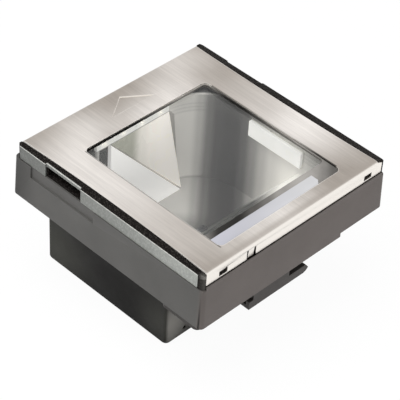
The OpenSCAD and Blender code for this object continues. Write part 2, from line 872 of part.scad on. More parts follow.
// A shallow tray under the front of the housing, with a notch around the bracket
module front_plate() color([0.17, 0.17, 0.17]) placed() {
    inner_x = hx + house_out + flare - skirt_t - fit;
    difference() {
        union() {
            rounded_plate(plate_x0, plate_x1, plate_y0, plate_y1, plate_r, plate_z, z_skirt);
            rounded_plate(-inner_x, plate_x1, plate_y0, plate_y1, plate_r, plate_z, z_floor);
        }
        difference() {
            rounded_plate(plate_x0 + plate_t, plate_x1 - plate_t, plate_y0 + plate_t,
                          plate_y1 - plate_t, plate_r - plate_t, plate_z + plate_t, z_skirt);
            at_plate_screws()
                cylinder(h = z_floor + cut, r = boss_r);
        }
        difference() {
            rounded_plate(-inner_x + plate_t, plate_x1 - plate_t, plate_y0 + plate_t,
                          plate_y1 - plate_t, plate_r - plate_t, z_skirt - eps, z_floor + cut);
            at_plate_screws()
                cylinder(h = z_floor + 2 * cut, r = boss_r);
        }
        block([bracket_x0 - plate_gap, plate_y0 - cut, plate_z - cut],
              [bracket_x1 + plate_gap, bracket_y1 + bracket_foot + tub_gap, z_floor + cut]);
        at_plate_screws()
            translate([0, 0, plate_z - cut])
                cylinder(h = 2 * plate_h + skirt_h, r = screw_r + 0.2);
    }
}

module plate_screws() color([0.7, 0.7, 0.7]) placed() {
    at_plate_screws()
        translate([0, 0, plate_z])
            screw_up(plate_h + skirt_h + floor_t + low_boss_h - 1);
}

// A channel that hangs under the front skirt, with a lip that is lower at both ends
module front_bracket() color([0.24, 0.23, 0.23]) placed() {
    y0 = bracket_y0;
    y1 = bracket_y1;
    lip_x0 = bracket_x0 + left_step;
    lip_x1 = bracket_x1 - right_step;
    end_r = step_h - 0.6;
    difference() {
        union() {
            block([bracket_x0, y0, bracket_z], [bracket_x1, y1, bracket_z + bracket_t]);
            block([bracket_x0, y1 - bracket_t, bracket_z], [bracket_x1, y1, z_floor]);
            block([bracket_x0, y1 - eps, z_floor - bracket_t], [bracket_x1, y1 + bracket_foot, z_floor]);
            block([lip_x0, y0, bracket_z], [lip_x1, y0 + bracket_t, z_skirt - bracket_lip_gap]);
            block([bracket_x0, y0, bracket_z], [bracket_x1, y0 + bracket_t, bracket_z + step_h]);
            for (x = [lip_x0 + 4, (lip_x0 + lip_x1) / 2, lip_x1 - 4])
                block([x - bracket_rib / 2, y0 + eps, bracket_z],
                      [x + bracket_rib / 2, y1 - eps, bracket_z + step_h]);
        }
        // The round lower corner at the right end
        translate([bracket_x1 - end_r, y1 + cut, bracket_z + end_r])
            rotate([90, 0, 0])
                linear_extrude(bracket_d + 2 * cut)
                    difference() {
                        translate([0, -end_r - cut])
                            square([end_r + cut, end_r + cut]);
                        circle(end_r);
                    }
        // The slanted upper corner above it
        translate([0, y0 - cut, 0])
            front_profile([
                [bracket_x1 - 3, bracket_z + step_h + eps], [bracket_x1 + cut, bracket_z + step_h - 5],
                [bracket_x1 + cut, bracket_z + step_h + eps]
            ], 0, bracket_t + cut);
        at_bracket_screws()
            translate([0, 0, z_floor - bracket_t - cut])
                cylinder(h = bracket_t + 2 * cut, r = screw_r + 0.2);
    }
}

module bracket_screws() color([0.7, 0.7, 0.7]) placed() {
    at_bracket_screws()
        translate([0, 0, z_floor - bracket_t])
            screw_up(bracket_t + floor_t + low_boss_h - 1);
}

module housing_screws() color([0.7, 0.7, 0.7]) placed() {
    for (side = [-1, 1], y = screw_ys)
        translate([side * screw_x, y, z_floor - lug_t])
            screw_up(lug_t + boss_h);
}

module mount_inserts() color([0.72, 0.6, 0.3]) placed() {
    at_inserts()
        difference() {
            cylinder(h = insert_l, r = insert_r + 0.9);
            translate([0, 0, -cut])
                cylinder(h = insert_l - 0.6 + cut, r = insert_r);
        }
}

// The well in plan, with one wide corner at the back right
module well_outline(grow) {
    difference() {
        rounded_outline(well_x0 - grow, well_x1 + grow, well_y0 - grow, well_y1 + grow, well_r + grow);
        translate([well_x1 - well_bend, well_y1 - well_bend])
            difference() {
                square(well_bend + grow + cut);
                circle(well_bend + grow, $fn = 96);
            }
    }
}

// The well from the side: a shelf at the front, a sloping wall, and a deep floor at the back
module well_solid(grow, top) {
    shift = slope_shift * grow / well_wall;
    intersection() {
        translate([0, 0, well_floor - grow])
            linear_extrude(top - well_floor + grow)
                well_outline(grow);
        side_profile([
            [well_y0 - grow, top], [well_y0 - grow, z_shelf - grow],
            [slope_y0 - shift, z_shelf - grow], [slope_y1 - shift, well_floor - grow],
            [well_y1 + grow, well_floor - grow], [well_y1 + grow, top]
        ], well_x0 - 2 * grow - cut, well_x1 + 2 * grow + cut);
    }
}

// The imager's own frame: its axis points along +Z and goes through the sloping wall
module at_imager() {
    translate([imager_x, imager_y, imager_z])
        rotate([-(90 - imager_tilt), 0, 0])
            children();
}

module optics_well() color([0.25, 0.24, 0.23]) placed() {
    difference() {
        union() {
            well_solid(well_wall, z_well_top);
            for (y = ear_ys) {
                block([-ear_x - ear_pad, y - ear_pad, ear_z], [well_x0, y + ear_pad, ear_z + ear_t]);
                block([well_x1, y - ear_pad, ear_z], [ear_x + ear_pad, y + ear_pad, ear_z + ear_t]);
            }
        }
        well_solid(0, z_well_top + cut);
        for (side = [-1, 1], y = ear_ys)
            translate([side * ear_x, y, ear_z - cut])
                cylinder(h = ear_t + 2 * cut, r = screw_r + 0.2);
        at_imager()
            translate([0, 0, -imager_back])
                cylinder(h = 2 * imager_back, r = barrel_r + 0.5);
    }
}

module well_screws() color([0.7, 0.7, 0.7]) placed() {
    for (side = [-1, 1], y = ear_ys)
        translate([side * ear_x, y, ear_z + ear_t])
            screw_down(ear_t + ear_screw_l);
}

// The mirrors' own plane: X across, Y up the mirror, with the glass behind it
module on_mirror() {
    translate([mirror_x, mirror_foot_y, mirror_z])
        rotate([90 - mirror_tilt, 0, 0])
            translate([0, 0, -mirror_t])
                linear_extrude(mirror_t)
                    children();
}

// The wedge between the leaning mirrors and the upright back wall
module mirror_carrier() color([0.16, 0.16, 0.16]) placed() {
    foot = mirror_foot_y + mirror_t / cos(mirror_tilt);
    rise = mirror_z - well_floor;
    intersection() {
        side_profile([
            [foot - rise * tan(mirror_tilt), well_floor], [well_y1, well_floor],
            [well_y1, mirror_z + mirror_h - carrier_drop],
            [foot + (mirror_h - carrier_drop) * tan(mirror_tilt), mirror_z + mirror_h - carrier_drop]
        ], mirror_x - mirror_low_w / 2, mirror_x + mirror_low_w / 2);
        translate([0, 0, well_floor])
            linear_extrude(mirror_h)
                well_outline(-fit);
    }
}

// Two mirrors that meet along a diagonal
module upper_mirror() color([0.86, 0.86, 0.83]) placed() {
    on_mirror()
        polygon([
            [-mirror_top_w / 2 + 2 * mirror_gap, mirror_len], [mirror_top_w / 2, mirror_len],
            [mirror_low_w / 2, 2 * mirror_gap]
        ]);
}

module lower_mirror() color([0.93, 0.93, 0.92]) placed() {
    on_mirror()
        polygon([
            [-mirror_top_w / 2, mirror_len - mirror_gap], [mirror_low_w / 2 - 2 * mirror_gap, 0],
            [-mirror_low_w / 2, 0]
        ]);
}

module at_bar_lamps() {
    pitch = bar_l / (bar_lamps - 0.12);
    for (i = [0:bar_lamps - 1])
        translate([bar_x + (i - (bar_lamps - 1) / 2) * pitch, well_y1 - lamp_board_t, bar_z + bar_h / 2])
            children();
}

// A clear bar over a row of lamps, along the well's back wall
module bar_lens() color([0.9, 0.92, 0.9]) placed() {
    difference() {
        block([bar_x - bar_l / 2, well_y1 - lamp_board_t - bar_t, bar_z],
              [bar_x + bar_l / 2, well_y1 - lamp_board_t, bar_z + bar_h]);
        at_bar_lamps()
            block([-lamp_w / 2 - lamp_gap, -lamp_t - lamp_gap, -lamp_h / 2 - lamp_gap],
                  [lamp_w / 2 + lamp_gap, cut, lamp_h / 2 + lamp_gap]);
    }
}

module bar_board() color([0.1, 0.25, 0.15]) placed() {
    block([bar_x - bar_l / 2, well_y1 - lamp_board_t, bar_z],
          [bar_x + bar_l / 2, well_y1, bar_z + bar_h]);
}

module bar_lamps_set() color([1, 0.98, 0.85]) placed() {
    at_bar_lamps()
        block([-lamp_w / 2, -lamp_t, -lamp_h / 2], [lamp_w / 2, 0, lamp_h / 2]);
}

module at_side_lamps() {
    pitch = side_l / side_lamps;
    for (i = [0:side_lamps - 1])
        translate([well_x1 - lamp_board_t, side_y + (i - (side_lamps - 1) / 2) * pitch, side_z + side_h / 2])
            children();
}

// A white diffuser over a row of lamps, on the well's right wall
module side_diffuser() color([0.96, 0.96, 0.95]) placed() {
    x1 = well_x1 - lamp_board_t;
    difference() {
        block([x1 - side_t, side_y - side_l / 2, side_z], [x1, side_y + side_l / 2, side_z + side_h]);
        at_side_lamps()
            block([-lamp_t - lamp_gap, -lamp_w / 2 - lamp_gap, -lamp_h / 2 - lamp_gap],
                  [cut, lamp_w / 2 + lamp_gap, lamp_h / 2 + lamp_gap]);
    }
}

module side_board() color([0.1, 0.25, 0.15]) placed() {
    block([well_x1 - lamp_board_t, side_y - side_l / 2, side_z],
          [well_x1, side_y + side_l / 2, side_z + side_h]);
}

module side_lamps_set() color([1, 0.98, 0.85]) placed() {
    at_side_lamps()
        block([-lamp_t, -lamp_w / 2, -lamp_h / 2], [0, lamp_w / 2, lamp_h / 2]);
}

// The imager's body, whose front follows the underside of the sloping wall
module imager_housing() color([0.1, 0.1, 0.1]) placed() {
    off_axis = 90 - slope_angle - imager_tilt;
    at_imager()
        difference() {
            side_profile([
                [-imager_half, -imager_back],
                [imager_half, -imager_back],
                [imager_half, -well_wall / cos(off_axis) + imager_half * tan(off_axis)],
                [-imager_half, -well_wall / cos(off_axis) - imager_half * tan(off_axis)]
            ], -imager_w / 2, imager_w / 2);
            translate([0, 0, -imager_back - cut])
                cylinder(h = 2 * imager_back, r = barrel_r + fit);
        }
}

module lens_barrel() color([0.06, 0.06, 0.06]) placed() {
    at_imager()
        difference() {
            translate([0, 0, -imager_back + 2])
                cylinder(h = imager_back, r = barrel_r);
            translate([0, 0, -imager_back + cut])
                cylinder(h = imager_back - 1, r = barrel_r - barrel_wall);
            translate([0, 0, -0.6])
                cylinder(h = 4, r1 = barrel_r - 1.5 * barrel_wall, r2 = barrel_r - 0.2);
        }
}

module front_lens() color([0.35, 0.4, 0.5]) placed() {
    at_imager()
        translate([0, 0, -lens_in])
            cylinder(h = lens_t, r = barrel_r - barrel_wall);
}

module imager_board() color([0.1, 0.3, 0.18]) placed() {
    at_imager()
        translate([-imager_w / 2 - 1, -imager_half - 1, -imager_back - board_t])
            cube([imager_w + 2, 2 * imager_half + 2, board_t]);
}

module image_sensor() color([0.2, 0.2, 0.22]) placed() {
    at_imager()
        translate([-sensor_w / 2, -sensor_d / 2, -imager_back])
            cube([sensor_w, sensor_d, sensor_t]);
}

// A flat ribbon that hangs from the imager's board to the main board
module imager_ribbon() color([0.85, 0.6, 0.2]) placed() {
    back = imager_back + board_t;
    start_y = imager_y - back * cos(imager_tilt) + (imager_half - 3) * sin(imager_tilt);
    start_z = imager_z - back * sin(imager_tilt) - (imager_half - 3) * cos(imager_tilt);
    low_z = main_z + board_t;
    t = ribbon_t;
    bend = ribbon_bend;
    out = ribbon_out;
    side_profile([
        [start_y, start_z], [start_y - bend, start_z - 1], [start_y - out, low_z + 1.4],
        [start_y - bend, low_z + t], [start_y + out, low_z + t], [start_y + out, low_z],
        [start_y - bend - t, low_z], [start_y - out - t, low_z + 1.2],
        [start_y - bend - t, start_z - 1 + t], [start_y - 0.13, start_z + t]
    ], imager_x - ribbon_w / 2, imager_x + ribbon_w / 2);
}

module main_board() color([0.1, 0.3, 0.18]) placed() {
    difference() {
        rounded_plate(-main_w / 2, main_w / 2, main_y0, main_y1, main_r, main_z, main_z + board_t);
        at_board_posts()
            translate([0, 0, main_z - cut])
                cylinder(h = board_t + 2 * cut, r = screw_r + 0.2);
        beeper_place()
            translate([0, 0, main_z - cut])
                cylinder(h = board_t + 2 * cut, r = beeper_r + 4 * beeper_fit);
    }
}

// The chips' middles are stated as shares of the board's width and depth
module board_chips() color([0.12, 0.12, 0.13]) placed() {
    for (c = [[0.36, 0.42, chip_l, chip_l], [0.36, 0.24, chip_s, chip_m], [0.19, 0.2, chip_s, chip_s],
              [0.36, 0.63, chip_m, chip_s], [-0.26, 0.74, chip_m, chip_s]])
        translate([c[0] * main_w - c[2] / 2, main_y0 + c[1] * main_d - c[3] / 2, main_z + board_t])
            cube([c[2], c[3], chip_t]);
}

module shield_can() color([0.75, 0.75, 0.76]) placed() {
    z0 = main_z + board_t;
    translate([0.03 * main_w, main_y0 + 0.46 * main_d, 0])
        difference() {
            block([-can_w / 2, -can_d / 2, z0], [can_w / 2, can_d / 2, z0 + can_h]);
            block([-can_w / 2 + can_t, -can_d / 2 + can_t, z0 - cut],
                  [can_w / 2 - can_t, can_d / 2 - can_t, z0 + can_h - can_t]);
        }
}

// A modular socket that looks out to the back
module modular_socket(x, mouth_w) {
    z0 = main_z + board_t;
    z1 = z0 + jack_floor;
    difference() {
        block([x - jack_w / 2, jack_y - jack_d, z0], [x + jack_w / 2, jack_y, z0 + jack_h]);
        block([x - mouth_w / 2, jack_y - jack_d + mouth_step, z1], [x + mouth_w / 2, jack_y + cut, z1 + mouth_h]);
        block([x - mouth_w / 4, jack_y - jack_d + latch_in, z1],
              [x + mouth_w / 4, jack_y + cut, z1 + mouth_h + mouth_step]);
    }
}

module interface_socket() color([0.1, 0.1, 0.1]) placed() {
    modular_socket(interface_x, interface_mouth);
}

module service_socket() color([0.1, 0.1, 0.1]) placed() {
    modular_socket(service_x, service_mouth);
}

module power_socket() color([0.1, 0.1, 0.1]) placed() {
    z0 = main_z + board_t;
    axis_z = z0 + power_h / 2;
    difference() {
        block([power_x - power_w / 2, jack_y - jack_d, z0], [power_x + power_w / 2, jack_y, z0 + power_h]);
        translate([power_x, jack_y + cut, axis_z])
            rotate([90, 0, 0])
                cylinder(h = power_deep + cut, r = power_r);
    }
    translate([power_x, jack_y - 1, axis_z])
        rotate([90, 0, 0])
            cylinder(h = power_deep, r = pin_r);
}

module beeper() color([0.08, 0.08, 0.08]) placed() {
    beeper_place()
        translate([0, 0, floor_t]) {
            difference() {
                cylinder(h = beeper_h, r = beeper_r);
                translate([0, 0, -cut])
                    cylinder(h = pin_r + cut, r = 0.8 * beeper_r);
            }
        }
}

module board_screws() color([0.7, 0.7, 0.7]) placed() {
    at_board_posts()
        translate([0, 0, main_z + board_t])
            screw_down(board_t + main_lift - 1.5);
}

top_cover();
window_glass();
window_gasket();
name_strip();
top_frame();
left_trim();
right_trim();
upper_housing();
lower_housing();
front_plate();
plate_screws();
front_bracket();
bracket_screws();
housing_screws();
mount_inserts();
optics_well();
well_screws();
mirror_carrier();
upper_mirror();
lower_mirror();
bar_lens();
bar_board();
bar_lamps_set();
side_diffuser();
side_board();
side_lamps_set();
imager_housing();
lens_barrel();
front_lens();
imager_board();
image_sensor();
imager_ribbon();
main_board();
board_chips();
shield_can();
interface_socket();
service_socket();
power_socket();
beeper();
board_screws();
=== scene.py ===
"""Dresses the packed counter scanner: finishes, rounded edges, fasteners, contacts, lamps and a studio."""

import math

import bmesh
import bpy
from bpy.props import FloatProperty, FloatVectorProperty, IntProperty, PointerProperty
from mathutils import Matrix, Vector


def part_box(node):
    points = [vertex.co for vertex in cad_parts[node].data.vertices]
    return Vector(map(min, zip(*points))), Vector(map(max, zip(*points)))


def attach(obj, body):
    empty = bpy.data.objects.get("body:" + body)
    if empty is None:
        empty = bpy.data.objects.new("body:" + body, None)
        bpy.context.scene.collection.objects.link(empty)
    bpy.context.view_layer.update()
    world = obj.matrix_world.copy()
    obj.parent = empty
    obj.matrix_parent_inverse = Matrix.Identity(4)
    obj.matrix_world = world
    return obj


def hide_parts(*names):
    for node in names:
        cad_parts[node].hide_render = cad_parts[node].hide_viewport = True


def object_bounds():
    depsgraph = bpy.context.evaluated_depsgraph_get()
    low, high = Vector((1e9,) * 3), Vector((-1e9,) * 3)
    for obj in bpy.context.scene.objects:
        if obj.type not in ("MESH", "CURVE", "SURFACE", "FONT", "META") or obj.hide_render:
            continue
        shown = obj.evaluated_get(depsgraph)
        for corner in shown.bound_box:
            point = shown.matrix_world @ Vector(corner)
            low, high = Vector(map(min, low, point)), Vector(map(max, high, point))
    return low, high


bl_info = {
    "name": "Counter Scanner Dressing",
    "version": (1, 0, 0),
    "blender": (4, 5, 0),
    "location": "View3D > Sidebar > Counter Scanner",
    "description": "Finishes, fasteners and studio for an in-counter scanner",
    "category": "Object",
}

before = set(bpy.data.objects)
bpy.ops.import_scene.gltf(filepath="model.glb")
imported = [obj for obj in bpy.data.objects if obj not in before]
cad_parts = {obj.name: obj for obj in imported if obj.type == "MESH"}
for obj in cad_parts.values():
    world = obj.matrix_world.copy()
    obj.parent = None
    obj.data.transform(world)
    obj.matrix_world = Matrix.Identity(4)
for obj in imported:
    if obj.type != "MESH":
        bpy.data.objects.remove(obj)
cad_low, cad_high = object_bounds()

MM = 0.001
WELD = 0.000002
CREASE = math.radians(30)
FLAT = math.radians(0.3)
# Painted sheens on the plate, standing for reflections of the lamps: x, y and z of the middle and the radius
# in millimetres, and the level
SHEENS = (
    (-66, 18, 97, 70, 0.85),
    (-62, 46, 97, 26, 0.3),
    (-64, -42, 97, 50, 0.22),
    (62, -26, 97, 52, 1.0),
    (56, 22, 97, 30, 0.35),
    (46, 68, 97, 38, 0.6),
    (14, 40, 97, 38, 0.85),
    (-10, 44, 97, 24, 0.4),
    (-37, 60, 97, 28, 0.5),
    (-14, -70, 97, 54, 0.75),
)
# Patches of the same kind: painted light on the frame's post and on the lower housing, and the upper
# housing's corner line with a painted highlight either side of it
POST_LIGHT = ((-74.4, -78.1, 0, 5, 1.0),)
CORNER_LINE = ((-77.7, -77.6, 0, 1.1, 1.0),)
CORNER_HIGHLIGHT = ((-77.7, -77.6, 0, 3.2, 0.5),)
LOWER_PATCHES = ((-60.6, 62, 14, 44, 0.42), (-60.6, -34, 16, 30, 0.3))
LOWER_CORNER = ((-58, -37.4, 15, 27, 1.0),)
# Painted light and shade across the well: the place from left to right, and the share of the light wall's
# colour
WELL_TONES = (
    (0.0, 0.97), (0.11, 1.0), (0.15, 0.97), (0.22, 0.62), (0.29, 0.17), (0.36, 0.03), (0.44, 0.0),
    (0.51, 0.0), (0.576, 0.06), (0.647, 0.28), (0.718, 0.58), (0.79, 0.82), (0.9, 0.97), (1.0, 1.0),
)
# Faint steps round the well, drawn only as lines of painted shade: the lowest and the highest millimetre of
# each
WELL_STEPS = ((83.2, 84.0), (80.6, 81.2), (77.6, 78.6))
# Painted shade across a mirror, in the same way
FACET_TONES = ((0.1, 0.1), (0.36, 0.72), (0.58, 0.9), (0.8, 1.0))
# Light caught under the glass: the place from left to right, and the share of the pale colour
GLINTS = (
    (0.0, 0.0), (0.10, 0.02), (0.20, 0.30), (0.28, 0.85), (0.36, 0.85), (0.42, 0.5),
    (0.49, 0.06), (0.56, 0.04), (0.62, 0.21), (0.68, 0.4), (0.73, 0.72), (0.80, 0.95),
    (0.86, 0.85), (0.91, 0.55), (0.95, 0.3), (1.0, 0.05),
)
# The sheet's turned edges left and right of the window, seen in shadow
TURNED_LEFT = (0.12, 0.11, 0.1)
TURNED_RIGHT = (0.05, 0.046, 0.042)
POINTER_LINE = 0.25 * MM
# The two layers of a screw's head: bottom and top as shares of its height, then its radii's shares
HEAD_LAYERS = ((0.0, 0.55, 0.8, 0.93), (0.55, 1.0, 0.93, 1.0))
BODY = "root"


def to_linear(level):
    """Turns one 8-bit display level into scene linear light."""
    share = level / 255
    if share <= 0.04045:
        return share / 12.92
    return ((share + 0.055) / 1.055) ** 2.4


def paint(red, green, blue):
    """A scene linear colour from three 8-bit display levels."""
    return (to_linear(red), to_linear(green), to_linear(blue))


def dim(base, level):
    """A colour with each of its channels times a level."""
    return [value * level for value in base]


def between(first, second, level):
    """A colour part of the way from one to another."""
    return [low + (high - low) * level for low, high in zip(first, second)]


def colour(label, text, value):
    """A colour that the user can change."""
    return FloatVectorProperty(
        name=label, description=text, default=value, subtype="COLOR", size=3, min=0, max=4
    )


def length(label, text, millimetres):
    """A length that the user can change."""
    return FloatProperty(
        name=label, description=text, default=millimetres * MM, unit="LENGTH", precision=5, min=0
    )


def share(label, text, value, top=1.0):
    """A share or strength that the user can change."""
    return FloatProperty(name=label, description=text, default=value, min=0, max=top)


def angle(label, text, degrees):
    """An angle that the user can change."""
    return FloatProperty(
        name=label, description=text, default=math.radians(degrees), subtype="ANGLE"
    )


def power(label, text, watts):
    """A lamp's power that the user can change."""
    return FloatProperty(name=label, description=text, default=watts, unit="POWER")


class ScannerCoverLook(bpy.types.PropertyGroup):
    """Finish of the folded steel cover."""

    steel: colour("Steel", "Colour of the brushed plate", paint(243, 238, 233))
    # The lit steel colour is painted light on the folded flanges, and also the pointer's painted highlight
    lit_steel: colour("Flange", "Colour of the folded flanges", paint(246, 241, 234))
    # The edge colour is partly rubbed cut edges and partly painted highlights along them
    edge: colour("Edge", "Colour of the bright cut edges", paint(255, 252, 247))
    shade: colour("Shade", "Colour of the plate's darker patches", paint(171, 163, 155))
    streak_pitch: length("Streak pitch", "Width of one brushed streak", 0.22)
    edge_radius: length("Edge radius", "Radius on the sheet's cut edges", 0.12)
    roughness: share("Roughness", "Roughness of the brushed plate", 0.34)


class ScannerWindowLook(bpy.types.PropertyGroup):
    """Finish of the window, its gasket and the bare name strip."""

    tint: colour("Glass tint", "Colour of light through the glass", paint(251, 251, 250))
    gasket: colour("Gasket", "Colour of the gasket and its band", paint(16, 15, 14))
    gasket_pale: colour("Pale gasket", "Colour of the band where it catches light", paint(146, 143, 139))
    strip: colour("Strip", "Colour of the bare name strip", paint(206, 206, 216))
    strip_pale: colour("Pale strip", "Colour of the strip's right end", paint(193, 193, 195))
    glass_edge: length("Glass edge", "Width of the glass plate's ground edge", 0.35)


class ScannerPlasticLook(bpy.types.PropertyGroup):
    """Finish of the moulded housings, frame and trims."""

    rail: colour("Rail", "Colour of the frame and its textured rails", paint(20, 18, 17))
    trim: colour("Trim", "Colour of the side trims", paint(134, 136, 132))
    upper: colour("Upper housing", "Colour of the upper housing", paint(83, 82, 80))
    lower: colour("Lower housing", "Colour of the lower housing", paint(26, 25, 24))
    bracket: colour("Bracket", "Colour of the bracket and the front plate", paint(54, 51, 49))
    grain_size: length("Grain size", "Size of the moulded grain", 0.35)
    grain_depth: length("Grain depth", "Depth of the moulded grain", 0.02)
    edge_radius: length("Edge radius", "Radius on the moulded edges", 0.35)


class ScannerOpticsLook(bpy.types.PropertyGroup):
    """Finish of the optics well, the mirrors and the lights."""

    wall_light: colour("Light wall", "Colour of the well's lit walls", paint(222, 220, 215))
    wall_dark: colour("Dark wall", "Colour of the well's dark bend", paint(22, 20, 19))
    corner: colour("Dark corner", "Colour of the well's unlit left wall", paint(26, 28, 24))
    rim: colour("Rim", "Colour of the well's upper rim", paint(112, 113, 107))
    # The near floor colour is painted shade on the well close to the front
    near_shade: colour("Near floor", "Colour of the floor nearest the front", paint(26, 27, 22))
    upper_facet: colour("Upper mirror", "Colour of the upper mirror", paint(250, 245, 238))
    lower_facet: colour("Lower mirror", "Colour of the lower mirror", paint(240, 239, 237))
    lamp: colour("Lamp", "Colour of the lit lamps", (1.0, 0.98, 0.92))
    # The mirror and wall glows are painted light: these surfaces glow for the lamps' light they pass on
    facet_glow: share("Mirror glow", "Light that the mirrors pass on", 0.36)
    wall_glow: share("Wall glow", "Light that the well's walls pass on", 0.2)
    diffuser_glow: share("Diffuser glow", "Strength of the side light", 0.3)
    bar_glow: share("Bar glow", "Strength of the light bar", 0.3)


class ScannerHardwareLook(bpy.types.PropertyGroup):
    """Sizes and finish of the screws, inserts, contacts and boards."""

    zinc: colour("Zinc", "Colour of the screws", paint(196, 196, 198))
    brass: colour("Brass", "Colour of the threaded inserts", paint(206, 170, 96))
    gold: colour("Gold", "Colour of the socket contacts", paint(226, 186, 104))
    board: colour("Board", "Colour of the circuit boards", paint(24, 78, 46))
    recess_width: length("Recess width", "Width of one arm of the cross recess", 0.55)
    recess_depth: length("Recess depth", "Depth of the cross recess", 1.1)
    thread_pitch: length("Thread pitch", "Pitch of the inserts' thread", 0.7)
    contact_pitch: length("Contact pitch", "Spacing of the socket contacts", 1.02)
    data_contacts: IntProperty(
        name="Data contacts", description="Contacts in the interface socket", default=10, min=4, max=10
    )
    service_contacts: IntProperty(
        name="Service contacts", description="Contacts in the service socket", default=8, min=4, max=8
    )


class ScannerStudioLook(bpy.types.PropertyGroup):
    """Camera, lamps and floor."""

    azimuth: angle("Azimuth", "Direction that the camera looks from", -47.786)
    elevation: angle("Elevation", "Height angle of the camera", 40.920)
    roll: angle("Roll", "Turn of the camera about its axis", 4.148)
    distance: length("Distance", "Distance from the camera to its aim", 1020.406)
    aim: FloatVectorProperty(
        name="Aim",
        description="Point that the camera looks at",
        default=(-33.963 * MM, -32.614 * MM, 97 * MM),
        subtype="TRANSLATION",
        size=3,
    )
    lens: FloatProperty(name="Lens", description="Focal length", default=161.525, unit="CAMERA")
    fill: share("Fill", "Strength of the even light from all around", 0.35, 4)
    overhead: power("Overhead lamp", "Power of the lamp above", 16)
    front: power("Front lamp", "Power of the lamp in front", 9)
    side: power("Side lamp", "Power of the lamp on the left", 5)
    floor: colour("Floor", "Colour of the floor", (0.86, 0.86, 0.86))
    floor_keep: share("Floor white", "Share of the floor that stays white in a shadow", 0.95)


LOOKS = {
    "scanner_cover": ScannerCoverLook,
    "scanner_window": ScannerWindowLook,
    "scanner_plastic": ScannerPlasticLook,
    "scanner_optics": ScannerOpticsLook,
    "scanner_hardware": ScannerHardwareLook,
    "scanner_studio": ScannerStudioLook,
}


# Node helpers


